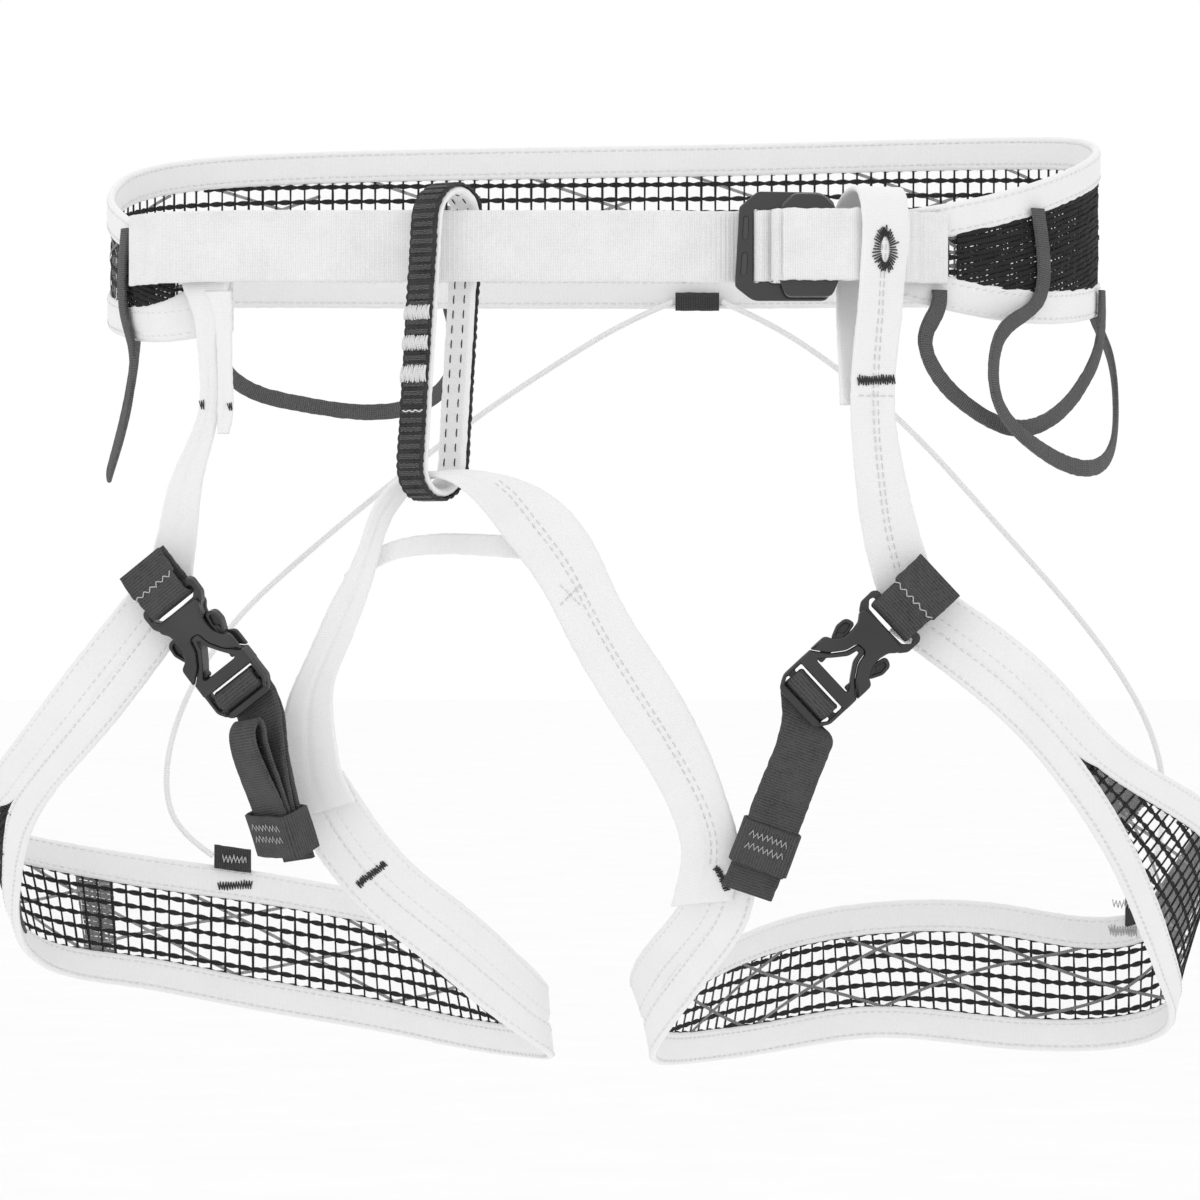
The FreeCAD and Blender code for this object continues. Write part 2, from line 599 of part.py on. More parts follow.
def make_anchor(side):
    """Dark webbing from behind the buckle round its bar, and back over the front."""
    radius = size("clip_bar") * CORNER + layer_gap + HALF_WEB
    length = CLIPS[side]["anchor"]
    path = [(-length, -radius), (-length / 2, -radius), (0, -radius)]
    path += [(radius * math.sin(math.radians(a)), -radius * math.cos(math.radians(a)))
             for a in (30, 60, 90, 120, 150)]
    path += [(0, radius), (-length / 2, radius), (-length, radius - ANCHOR_DROP)]
    feature(f"leg_anchor_webbing_{side}",
            whole(frames(clip_pairs(side, path, strap_width)), webbing_thick))


# Adjuster straps: stations (centre, direction across) of the layer behind, down from the ladder
# to the sewn end, and of the loose end in front, which on the left is folded up and down again.
STRAP_ROUTES = {
    "left": {
        "behind": [((-113, -91, -184), (0.87, -0.42, 0.25)), ((-111, -87, -198), (0.9, -0.4, 0.15)),
                   ((-109, -83, -212), (0.9, -0.4, 0.15)), ((-107.4, -79.8, -223), (0.9, -0.4, 0.15))],
        "front": [((-114.4, -93.8, -184), (0.87, -0.42, 0.25)), ((-112.4, -89.8, -198), (0.88, -0.42, 0.2)),
                  ((-110.4, -85.8, -211), (0.9, -0.4, 0.15)), ((-109.8, -84.2, -217.6), (0.9, -0.4, 0.15)),
                  ((-110.2, -84.9, -219.8), (0.9, -0.4, 0.15)), ((-110.9, -86.4, -220.2), (0.9, -0.4, 0.15)),
                  ((-111.4, -87.8, -218.2), (0.9, -0.4, 0.15)), ((-112, -89.1, -211), (0.9, -0.4, 0.15)),
                  ((-114, -93.1, -198), (0.87, -0.46, 0.15)), ((-118, -98.8, -185), (0.78, -0.6, 0.15)),
                  ((-119.6, -100.8, -179.4), (0.76, -0.63, 0.12)), ((-121.2, -102.6, -176.6), (0.76, -0.63, 0.12)),
                  ((-122.8, -105, -176.4), (0.76, -0.63, 0.12)), ((-123.4, -106.6, -179.4), (0.76, -0.63, 0.12)),
                  ((-120.2, -103.6, -187), (0.8, -0.58, 0.15)), ((-116, -97.7, -196), (0.88, -0.44, 0.15)),
                  ((-114.5, -94.7, -204), (0.9, -0.4, 0.15)), ((-113.3, -92.1, -212), (0.9, -0.4, 0.15)),
                  ((-112.3, -90.3, -219), (0.9, -0.4, 0.15))],
        "keeper": (-110.8, -86.95, -213.8),
        "keeper_layers": 4,
    },
    "right": {
        "behind": [((71.5, -88.5, -182), (0.96, 0, -0.28)), ((66.5, -84, -201), (0.97, 0, -0.25)),
                   ((61, -79.5, -219.5), (0.97, 0, -0.25)), ((57, -75.5, -234), (0.97, 0, -0.25))],
        "front": [((72, -94.2, -182), (0.96, 0, -0.28)), ((66.9, -88.4, -200), (0.97, 0, -0.25)),
                  ((61.3, -82.6, -219.2), (0.97, 0, -0.25)), ((57.4, -78.7, -233.5), (0.97, 0, -0.25))],
        "keeper": (61.15, -81.05, -219.4),
        "keeper_layers": 2,
    },
}
LAYER_PITCH = 3.0
KEEPER_PLAY = 0.9


def make_adjuster(side):
    """Strap from its sewn end up behind the ladder, over the ladder's middle bar and down again."""
    route = STRAP_ROUTES[side]
    half = strap_width / 2
    radius = size("ladder_bar") * CORNER + layer_gap + HALF_WEB
    middle = LADDER_START + size("ladder_slot") + size("ladder_bar") / 2
    end = LADDER_START + LADDER_LENGTH

    def rows_of(stations):
        pairs = []
        for point, across in stations:
            unit = V(*across).normalize()
            pairs.append((V(*point) - unit * half, V(*point) + unit * half))
        return pairs

    turn = [(middle - radius * math.sin(math.radians(a)), -radius * math.cos(math.radians(a)))
            for a in (0, 30, 60, 90, 120, 150, 180)]
    ladder = clip_pairs(side, [(end, -radius)] + turn + [(end, radius)], strap_width)
    if (ladder[0][1] - ladder[0][0]).x < 0:
        ladder = [(b, a) for a, b in ladder]
    down = smooth([ladder[-1]] + rows_of(route["front"]), 3)
    up = smooth(list(reversed(rows_of(route["behind"]))) + [ladder[0]], 3)
    feature(f"leg_adjuster_strap_{side}", whole(frames(up[:-1] + ladder + down[1:]), webbing_thick))


def make_keeper(side):
    """Flat sleeve round all layers of the adjuster strap."""
    route = STRAP_ROUTES[side]
    centre = V(*route["keeper"])
    axis = (V(*route["behind"][2][0]) - V(*route["behind"][1][0])).normalize()
    across = V(*route["behind"][2][1]).normalize()
    depth = axis.cross(across).normalize()
    across = depth.cross(axis).normalize()
    wall = size("keeper_wall")
    height = size("keeper_height")
    inner_width = strap_width + 2 * KEEPER_PLAY
    inner_depth = (route["keeper_layers"] - 1) * LAYER_PITCH + webbing_thick + 2 * KEEPER_PLAY

    def block(width, thick, tall):
        shape = Part.makeBox(width, thick, tall, V(-width / 2, -thick / 2, -tall / 2))
        matrix = FreeCAD.Matrix(across.x, depth.x, axis.x, 0, across.y, depth.y, axis.y, 0,
                                across.z, depth.z, axis.z, 0, 0, 0, 0, 1)
        shape.Placement = FreeCAD.Placement(centre, FreeCAD.Placement(matrix).Rotation)
        return shape

    outer = block(inner_width + 2 * wall, inner_depth + 2 * wall, height)
    feature(f"leg_keeper_{side}", outer.cut(block(inner_width, inner_depth, 2 * height)))


# ---------------------------------------------------------------- gear loops

UNDER_WEBBING = WEBBING_TOP - webbing_width - 2.0

# Each loop: row of the belt and two heights of its first end, points between, the same for its last end.
GEAR_ROUTES = {
    "gear_loop_right_front": (
        (47, UNDER_WEBBING, UNDER_WEBBING - 4), [(114, -82, -40), (117, -83, -51), (128, -79.5, -63), (144, -71, -71),
                         (161, -54, -67), (174, -36, -53), (180, -25, -40)], (40, -20, -27)),
    "gear_loop_right_side": (
        (44, 7, -26), [(141.5, -75, -38), (138, -81, -50), (140, -83.5, -64), (152, -76, -77),
                       (172, -50, -85), (184.5, -18, -79), (189, 6, -62), (187, 15, -40)],
        (36, -8, -23)),
    "gear_loop_left_rear": (
        (16, -11, -19), [(-146, 78, -31), (-144, 82, -42), (-135, 86, -51), (-115, 89, -57),
                         (-82, 91.5, -60), (-61, 92, -52), (-54, 91.5, -36)], (21, -11, -19)),
    "gear_loop_left_side": (
        (5, 0, -33), [(-166, -60, -42), (-166, -59, -54), (-169.5, -49, -69), (-175.5, -26, -82),
                      (-179.5, 2, -86), (-179.5, 28, -77), (-177, 44, -61), (-174.5, 50, -43)], (13, -4, -22)),
}


def belt_seat(row, height):
    """Middle of a gear loop that lies flat on the outside of the belt."""
    origin, across, normal, width = row
    seat = origin + normal * (binding_thick / 2 + layer_gap + gear_thick / 2)
    return V(seat.x, seat.y, height)


def make_gear_loops():
    rows = belt_rows()
    for label, (first, between, last) in GEAR_ROUTES.items():
        start = [belt_seat(rows[first[0]], height) for height in first[1:]]
        end = [belt_seat(rows[last[0]], height) for height in reversed(last[1:])]
        points = start + [V(*p) for p in between] + end
        pairs = []
        for i, point in enumerate(points):
            ahead = points[min(i + 1, len(points) - 1)] - points[max(i - 1, 0)]
            share = i / (len(points) - 1)
            out = rows[first[0]][2] * (1 - share) + rows[last[0]][2] * share
            across = out.cross(ahead).normalize() * (gear_width / 2)
            pairs.append((point - across, point + across))
        hanging = smooth(pairs[1:-1], 3)
        feature(label, whole(frames(pairs[:1] + hanging + pairs[-1:]), gear_thick))


# ---------------------------------------------------------------- elastic cords

TAB_MIDDLE = V(37, 82, -18.5)
TAB_LENGTH = 18.0
TAB_CLEAR = 0.7
CORDS = {
    "elastic_cord_left": [
        (28, 82, -18.5), (10, 82.5, -26), (-15, 85, -41), (-47, 86.5, -62), (-84, 87, -91), (-114, 86, -116),
        (-137, 85, -137), (-153, 83.5, -159), (-163, 81, -183), (-165.5, 78.5, -204), (-160, 76, -220),
        (-146.7, 75.3, -229)],
    "elastic_cord_right": [
        (46, 82, -18.5), (64, 82.5, -26), (90, 85, -43), (118, 86, -66), (152, 85, -104),
        (183, 82, -139), (202, 77, -166), (212, 71, -190), (213, 65.5, -212), (209.5, 62, -231),
        (205, 61.3, -241)],
}


def cord_wire(points, label):
    """Straight runs joined by tangent arcs; each arc takes 0.45 of its shorter run."""
    points = [V(*p) for p in points]
    edges = []
    radii = []
    start = points[0]
    for before, corner, after in zip(points, points[1:], points[2:]):
        come = (corner - before)
        leave = (after - corner)
        reach = 0.45 * min(come.Length, leave.Length)
        come.normalize()
        leave.normalize()
        half_turn = come.getAngle(leave) / 2
        radius = reach / math.tan(half_turn)
        radii.append(radius)
        first = corner - come * reach
        last = corner + leave * reach
        inward = (leave - come).normalize()
        middle = corner + inward * (radius / math.cos(half_turn) - radius)
        edges.append(Part.LineSegment(start, first).toShape())
        edges.append(Part.Arc(first, middle, last).toShape())
        start = last
    edges.append(Part.LineSegment(start, points[-1]).toShape())
    print(label, "radii", " ".join(f"{r:.0f}" for r in radii))
    return Part.Wire(edges)


def make_cords():
    for label, points in CORDS.items():
        path = cord_wire(points, label)
        direction = (V(*points[1]) - V(*points[0])).normalize()
        rim = Part.Wire([Part.makeCircle(cord_diameter / 2, V(*points[0]), direction)])
        tube = path.makePipeShell([rim], True, False, 2)
        expected = math.pi * cord_diameter ** 2 / 4 * path.Length
        print(label, f"length {path.Length:.0f}", f"volume ratio {tube.Volume / expected:.4f}")
        feature(label, tube)
    thick = cord_diameter + 2 * 0.9
    tab = box("waist_tab_box", Length=str(TAB_LENGTH - 2 * TAB_CLEAR), Width=str(thick), Height="7")
    tab.Label = "waist_elastic_tab"
    tab.Placement.Base = TAB_MIDDLE - V(TAB_LENGTH / 2 - TAB_CLEAR, thick / 2, 3.5)


# ---------------------------------------------------------------- build and write

make_belt()
make_waist_webbing()
make_waist_buckle()
make_belay_loop()
make_risers()
make_crosspiece()
for leg in ("left", "right"):
    make_leg_loop(leg)
    make_female(leg)
    make_male(leg)
    make_anchor(leg)
    make_adjuster(leg)
    make_keeper(leg)
make_gear_loops()
make_cords()
doc.recompute()

NODES = [
    "waist_panel_mesh", "waist_binding_top", "waist_binding_bottom", "waist_webbing_front",
    "waist_webbing_right", "waist_webbing_tail", "waist_buckle_frame", "waist_buckle_slide",
    "belay_loop_core", "belay_loop_cover", "crosspiece_strap", "cross_link",
    "riser_left", "riser_left_tail", "riser_right", "waist_elastic_tab",
    "gear_loop_right_front", "gear_loop_right_side", "gear_loop_left_rear", "gear_loop_left_side",
    "elastic_cord_left", "elastic_cord_right",
]
for leg in ("left", "right"):
    for piece in ("leg_binding_top", "leg_binding_bottom", "leg_mesh", "leg_fork_patch", "leg_cross_strap",
                  "leg_elastic_tab", "leg_anchor_webbing", "leg_buckle_female", "leg_buckle_male",
                  "leg_adjuster_strap", "leg_keeper"):
        NODES.append(f"{piece}_{leg}")

for item in doc.Objects:
    if "Invalid" in item.State or "Error" in item.State:
        raise RuntimeError(f"{item.Label}: {item.State}")
os.makedirs("parts", exist_ok=True)
for label in NODES:
    item = doc.getObjectsByLabel(label)[0]
    if item.Shape.isNull() or not item.Shape.isValid():
        raise RuntimeError(f"{label}: its shape isn't valid")
    if len(item.Shape.Solids) != 1:
        raise RuntimeError(f"{label}: {len(item.Shape.Solids)} solids in place of one")
    item.Shape.exportStep(f"parts/{label}.step")
print(len(NODES), "nodes")
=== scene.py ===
import bpy
import math
import numpy as np
from mathutils import Matrix, Vector, noise


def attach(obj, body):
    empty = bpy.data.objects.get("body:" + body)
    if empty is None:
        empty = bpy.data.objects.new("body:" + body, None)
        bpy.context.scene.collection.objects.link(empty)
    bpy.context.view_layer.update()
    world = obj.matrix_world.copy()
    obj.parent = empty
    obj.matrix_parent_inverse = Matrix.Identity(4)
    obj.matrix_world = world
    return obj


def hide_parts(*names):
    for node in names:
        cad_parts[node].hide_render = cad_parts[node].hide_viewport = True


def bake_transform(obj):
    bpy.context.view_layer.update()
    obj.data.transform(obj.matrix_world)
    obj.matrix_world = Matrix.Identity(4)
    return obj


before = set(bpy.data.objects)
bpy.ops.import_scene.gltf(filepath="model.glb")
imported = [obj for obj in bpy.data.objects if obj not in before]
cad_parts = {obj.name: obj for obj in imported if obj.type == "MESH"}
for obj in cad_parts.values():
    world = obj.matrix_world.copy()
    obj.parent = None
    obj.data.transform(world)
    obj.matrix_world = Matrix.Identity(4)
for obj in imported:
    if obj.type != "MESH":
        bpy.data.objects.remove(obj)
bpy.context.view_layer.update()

# Climbing harness. Routes below are in millimetres, in the frame of the CAD model:
# +Z up, +X across the waist, -Y in front of the wearer. Meshes are made in metres.
# Left and right are those of the front view.
MM = 0.001


# ---------------------------------------------------------------- smooth curves

def spline(points, stops):
    """Natural cubic curve through the points, as a function of an array of stops."""
    p = np.array(points, float)
    t = np.array(stops, float)
    n = len(t)
    h = np.diff(t)
    rows = np.eye(n)
    right = np.zeros_like(p)
    for i in range(1, n - 1):
        rows[i, i - 1:i + 2] = h[i - 1], 2 * (h[i - 1] + h[i]), h[i]
        right[i] = 6 * ((p[i + 1] - p[i]) / h[i] - (p[i] - p[i - 1]) / h[i - 1])
    m = np.linalg.solve(rows, right)

    def at(x):
        x = np.asarray(x, float)
        i = np.clip(np.searchsorted(t, x) - 1, 0, n - 2)
        a = ((t[i + 1] - x) / h[i])[:, None]
        b = ((x - t[i]) / h[i])[:, None]
        square = (h[i] ** 2)[:, None] / 6
        return a * p[i] + b * p[i + 1] + ((a ** 3 - a) * m[i] + (b ** 3 - b) * m[i + 1]) * square
    return at


def unit(v):
    return v / np.maximum(np.linalg.norm(v, axis=-1, keepdims=True), 1e-9)


def distances(points):
    """Distance along a line of points, from its first one."""
    return np.concatenate([[0], np.cumsum(np.linalg.norm(np.diff(points, axis=0), axis=1))])


def noise_at(points, scale, seed=0.0):
    """Smooth noise from -1 to 1 at points in millimetres; scale is its size in millimetres."""
    flat = points.reshape(-1, 3) / scale
    values = [noise.noise(Vector((x + seed, y, z - seed))) for x, y, z in flat]
    return np.array(values).reshape(points.shape[:-1])


class Band:
    """A strip between two edges, with fine rows along it."""

    def __init__(self, pairs, pitch=1.0, wobble=0.25):
        first = np.array([p[0] for p in pairs], float)
        second = np.array([p[1] for p in pairs], float)
        middle = (first + second) / 2
        stops = distances(middle)
        x = np.linspace(0, stops[-1], int(math.ceil(stops[-1] / pitch)) + 1)
        a = spline(first, stops)(x)
        b = spline(second, stops)(x)
        self.stops = stops
        self.wobble = wobble
        self.a = a
        self.across = unit(b - a)
        self.width = np.linalg.norm(b - a, axis=1)
        middle = (a + b) / 2
        self.normal = unit(np.cross(np.gradient(middle, axis=0), self.across))
        self.s = distances(middle)
        self.length = self.s[-1]

    def cut(self, low, high):
        """The rows from low to high millimetres along."""
        keep = (self.s >= low) & (self.s <= high)
        part = object.__new__(Band)
        part.wobble = self.wobble
        part.stops = self.stops
        for name in ("a", "across", "width", "normal"):
            setattr(part, name, getattr(self, name)[keep])
        part.s = self.s[keep]
        part.length = self.length
        return part

    def row(self, s):
        s = np.asarray(s, float)
        parts = []
        for values in (self.a, self.across, self.normal):
            parts.append(np.stack([np.interp(s, self.s, values[:, k]) for k in range(3)], axis=-1))
        return parts[0], unit(parts[1]), unit(parts[2]), np.interp(s, self.s, self.width)

    def place(self, s, u, v):
        """Points at s along, u across from the first edge and v along the normal."""
        origin, across, normal, _ = self.row(s)
        point = origin + across * np.asarray(u, float)[..., None]
        lift = np.asarray(v, float) + self.wobble * noise_at(point, 19.0)
        return point + normal * lift[..., None]


def pairs_of(stations):
    """Edge pairs from stations of (centre, direction across, width)."""
    pairs = []
    for centre, across, width in stations:
        half = unit(np.array(across, float)) * width / 2
        pairs.append((np.array(centre, float) - half, np.array(centre, float) + half))
    return pairs


def flat_pairs(plan, top, width):
    """Edge pairs of an upright strap over a plan of (x, y)."""
    return [((x, y, top), (x, y, top - width)) for x, y in plan]


def arc_plan(cx, cy, radius, first, last, count):
    turns = np.radians(np.linspace(first, last, count + 1))
    return [(cx + radius * math.cos(t), cy + radius * math.sin(t)) for t in turns]


# ---------------------------------------------------------------- meshes

def mesh_object(name, points, faces, finish, lay):
    """Smooth mesh from points in millimetres, with the place of each point in its cloth for the material."""
    data = bpy.data.meshes.new(name)
    data.from_pydata((np.asarray(points) * MM).tolist(), [], faces)
    data.polygons.foreach_set("use_smooth", [True] * len(data.polygons))
    layer = data.attributes.new("lay", "FLOAT_VECTOR", "POINT")
    layer.data.foreach_set("vector", np.asarray(lay, float).ravel())
    data.materials.append(FINISHES[finish])
    data.update()
    obj = bpy.data.objects.new(name, data)
    bpy.context.scene.collection.objects.link(obj)
    return obj


def tube_faces(n, k, closed=False, offset=0):
    """Faces of a tube of n rings with k points each, closed to a ring or capped."""
    faces = []
    last = n if closed else n - 1
    for i in range(last):
        j = (i + 1) % n
        for c in range(k):
            d = (c + 1) % k
            faces.append((offset + i * k + c, offset + i * k + d, offset + j * k + d, offset + j * k + c))
    if not closed:
        faces.append(tuple(offset + c for c in reversed(range(k))))
        faces.append(tuple(offset + (n - 1) * k + c for c in range(k)))
    return faces


def near_edge(distance):
    """A line at a fixed distance from a band's first edge, as a function of its width."""
    return lambda w: 0 * w + distance


def far_edge(distance):
    """A line at a fixed distance from a band's second edge."""
    return lambda w: w - distance


def strap(name, band, thick, finish, start=None, end=None, lift=0.0, columns=14, ribs=None, seam=0.0,
          ragged=0.0, selvedge=0.08, closed=False, puff=0.0, dips=()):
    """Closed strip with rounded edges, from start(width) to end(width) across the band."""
    w = band.width
    low = np.zeros_like(w) if start is None else start(w)
    high = w if end is None else end(w)
    n = len(w)
    if ragged:
        line = band.a + band.across * low[:, None]
        low = low + ragged * noise_at(line, 2.3, 3.0)
        high = high + ragged * noise_at(line, 2.3, 9.0)
    half = thick / 2
    run = np.maximum(high - low, 0.6)
    r = np.minimum(half, run * 0.45)
    f = np.linspace(0, 1, columns)
    top_u = low[:, None] + r[:, None] + f[None] * (run - 2 * r)[:, None]
    shape = 1 + selvedge * (np.exp(-(f / 0.05) ** 2) + np.exp(-((1 - f) / 0.05) ** 2))
    shape = shape + puff * np.sin(np.pi * f)
    top_v = half * shape[None] * np.ones((n, 1))
    if seam:
        off = (top_u - (low + high)[:, None] / 2)
        top_v = top_v - seam * np.exp(-(off / 0.55) ** 2)
    for u0, depth, wide in dips:
        top_v = top_v - depth * np.exp(-((top_u - low[:, None] - u0) / wide) ** 2)
    if ribs:
        pitch, depth = ribs
        jitter = noise_at(band.a, 6.0, 5.0) * 0.35
        wave = np.abs(np.sin(np.pi * (band.s / pitch + jitter))) ** 0.7
        grow = 0.55 + 0.45 * noise_at(band.a, 5.0, 21.0)
        top_v = top_v - (depth * (1 - wave) * grow)[:, None]
    angles = np.radians([-60, -30, 0, 30, 60])
    right_u = (high - r)[:, None] + r[:, None] * np.cos(angles)[None]
    left_u = (low + r)[:, None] - r[:, None] * np.cos(angles)[None]
    edge_v = half * np.sin(angles)[None] * np.ones((n, 1))
    us = np.concatenate([top_u, right_u[:, ::-1], top_u[:, ::-1], left_u], axis=1)
    vs = np.concatenate([top_v, edge_v[:, ::-1], -top_v[:, ::-1], edge_v], axis=1)
    middle = band.a[:, None] + band.across[:, None] * us[..., None]
    sparse_u = low[:, None] + run[:, None] * np.linspace(0, 1, 5)
    sparse = band.a[:, None] + band.across[:, None] * sparse_u[..., None]
    wave = noise_at(sparse, 19.0)
    share = np.clip((us - low[:, None]) / run[:, None], 0, 1) * 4
    i = np.clip(share.astype(int), 0, 3)
    part = share - i
    picked = np.take_along_axis(wave, i, 1) * (1 - part) + np.take_along_axis(wave, i + 1, 1) * part
    points = middle + band.normal[:, None] * (vs + lift + band.wobble * picked)[..., None]
    k = us.shape[1]
    side = np.concatenate([np.ones(columns), np.zeros(5), -np.ones(columns), np.zeros(5)])
    along = np.repeat(band.s[:, None], k, 1)
    lay = np.stack([us - low[:, None], along, np.repeat(side[None], n, 0)], axis=-1)
    faces = tube_faces(n, k, closed=closed)
    return mesh_object(name, points.reshape(-1, 3), faces, finish, lay.reshape(-1, 3))


def threads(name, lines, radius, finish, sides=6):
    """Many short round threads; each line is an array of points in millimetres."""
    points = []
    faces = []
    lays = []
    turns = np.linspace(0, 2 * np.pi, sides, endpoint=False)
    offset = 0
    for line in lines:
        line = np.asarray(line, float)
        ahead = unit(np.gradient(line, axis=0))
        helper = np.array([0.3, 0.2, 0.93]) if abs(ahead[0][2]) < 0.8 else np.array([0.95, 0.3, 0.1])
        side = unit(np.cross(ahead, helper))
        up = np.cross(ahead, side)
        tip = radius * 0.8
        line = np.concatenate([[line[0]], [line[0] + ahead[0] * tip], line[1:-1],
                               [line[-1] - ahead[-1] * tip], [line[-1]]])
        side = np.concatenate([side[:1], side[:1], side[1:-1], side[-1:], side[-1:]])
        up = np.concatenate([up[:1], up[:1], up[1:-1], up[-1:], up[-1:]])
        sizes = np.full(len(line), radius)
        sizes[0] = sizes[-1] = radius * 0.35
        ring = (line[:, None] + side[:, None] * (np.cos(turns)[None, :, None] * sizes[:, None, None])
                + up[:, None] * (np.sin(turns)[None, :, None] * sizes[:, None, None]))
        n = len(line)
        along = distances(line)
        points.append(ring.reshape(-1, 3))
        lays.append(np.stack([np.tile(turns, n), np.repeat(along, sides), np.zeros(n * sides)], axis=-1))
        faces += tube_faces(n, sides, offset=offset)
        offset += n * sides
    return mesh_object(name, np.concatenate(points), faces, finish, np.concatenate(lays))


def tapes(name, runs, thick, finish):
    """Flat tapes; each run is (points, unit across, unit normal, half width array)."""
    points = []
    faces = []
    lays = []
    offset = 0
    for line, across, normal, half in runs:
        n = len(line)
        if n < 2:
            continue
        half = np.broadcast_to(half, (n,))[:, None]
        t = thick / 2
        soft = half * 0.72
        ring = np.stack([line - across * half, line - across * soft + normal * t,
                         line + across * soft + normal * t, line + across * half,
                         line + across * soft - normal * t, line - across * soft - normal * t], axis=1)
        along = distances(line)
        points.append(ring.reshape(-1, 3))
        lays.append(np.stack([np.tile(np.array([-1, -.7, .7, 1, .7, -.7]), n), np.repeat(along, 6),
                              np.zeros(n * 6)], axis=-1))
        faces += tube_faces(n, 6, offset=offset)
        offset += n * 6
    return mesh_object(name, np.concatenate(points), faces, finish, np.concatenate(lays))


def stitch_row(band, s0, s1, u, v, pitch, length):
    """Running stitches along the band; u is from the first edge."""
    lines = []
    count = max(1, int((s1 - s0) / pitch))
    for i in range(count):
        a = s0 + i * pitch
        where = np.array([a, a + length / 2, a + length])
        across = u + 0.12 * noise.noise(Vector((a, u, v)))
        rise = np.array([-0.15, 0.1, -0.15]) * (1 if v > 0 else -1)
        lines.append(band.place(where, np.full(3, across), v + rise))
    return lines


def spot(band, x, z, back):
    """Place on a band, as (s, u), that lies at x and z in its front half or in its back half."""
    u = band.width[:, None] * np.linspace(0, 1, 25)[None]
    points = band.a[:, None] + band.across[:, None] * u[..., None]
    hidden = points[..., 1] < 40 if back else points[..., 1] > 20
    far = np.hypot(points[..., 0] - x, points[..., 2] - z) + np.where(hidden, 1000, 0)
    i, j = np.unravel_index(far.argmin(), far.shape)
    return float(band.s[i]), float(u[i, j])


def view_lines(band, x, z, shapes, height, back=False):
    """Lines drawn in the front view round (x, z), laid on the side of the band that faces the front."""
    s, u = spot(band, x, z, back)
    grid_s = np.array([s - 0.5, s + 0.5, s, s])
    grid_u = np.array([u, u, u - 0.5, u + 0.5])
    at = band.place(grid_s, grid_u, np.zeros(4))
    turn = np.linalg.inv(np.array([[at[1][0] - at[0][0], at[3][0] - at[2][0]],
                                   [at[1][2] - at[0][2], at[3][2] - at[2][2]]]))
    lifted = band.place(np.array([s]), np.array([u]), np.array([1.0]))[0]
    flat = band.place(np.array([s]), np.array([u]), np.array([0.0]))[0]
    v = height if lifted[1] < flat[1] else -height
    lines = []
    for shape in shapes:
        moved = turn @ np.asarray(shape, float).T
        rise = 0.3 * np.sin(np.linspace(0, np.pi, len(shape))) * np.sign(v)
        lines.append(band.place(s + moved[0], u + moved[1], v + rise))
    return lines


def tack_shapes(wide, tall, turn, pitch=0.55, fray=0.35):
    """Close upright threads in a row, with uneven ends, turned by some degrees."""
    c, d = math.cos(math.radians(turn)), math.sin(math.radians(turn))
    shapes = []
    count = max(3, int(wide / pitch))
    for i in range(count):
        x = ((i + 0.5) / count - 0.5) * wide
        up = tall / 2 * (1 + fray * noise.noise(Vector((i * 1.7, wide, turn))) * 2)
        down = tall / 2 * (1 + fray * noise.noise(Vector((i * 1.9, wide, turn + 9))) * 2)
        lean = 0.6 * pitch * (1 if i % 2 else -1) + 0.4 * noise.noise(Vector((i * 2.3, tall, turn)))
        flat = [(x + lean * t, down * t if t < 0 else up * t) for t in (-1, -0.5, 0, 0.5, 1)]
        shapes.append([(a * c - b * d, a * d + b * c) for a, b in flat])
    return shapes


def ring_shapes(inner, outer, count=40):
    """Radial threads between two ellipses, given as half widths and half heights."""
    shapes = []
    for i in range(count):
        a = 2 * math.pi * i / count
        far = 1 + 0.16 * noise.noise(Vector((i * 1.3, 2.0, 5.0))) * 2
        shapes.append([(math.cos(a) * (inner[0] + (outer[0] * far - inner[0]) * t),
                        math.sin(a) * (inner[1] + (outer[1] * far - inner[1]) * t))
                       for t in (0, 0.33, 0.67, 1)])
    return shapes


def frayed(band, s, u0, u1, v, step=1.65, reach=0.55):
    """One sewn row across the band whose threads stand up in turn."""
    lines = []
    bow = np.linspace(0, math.pi, 5)
    count = int((u1 - u0) / step)
    for i in range(count):
        u = u0 + i * step
        loose = noise.noise(Vector((u * 3.1, s, v)))
        where = np.linspace(u, u + step * 1.15, 5)
        along = s + reach * (1 + loose) * np.cos(bow) * (1 if i % 2 else -1)
        lines.append(band.place(along, where, v + 0.35 * np.abs(loose) * np.sin(bow) * np.sign(v)))
    return lines


# ---------------------------------------------------------------- materials

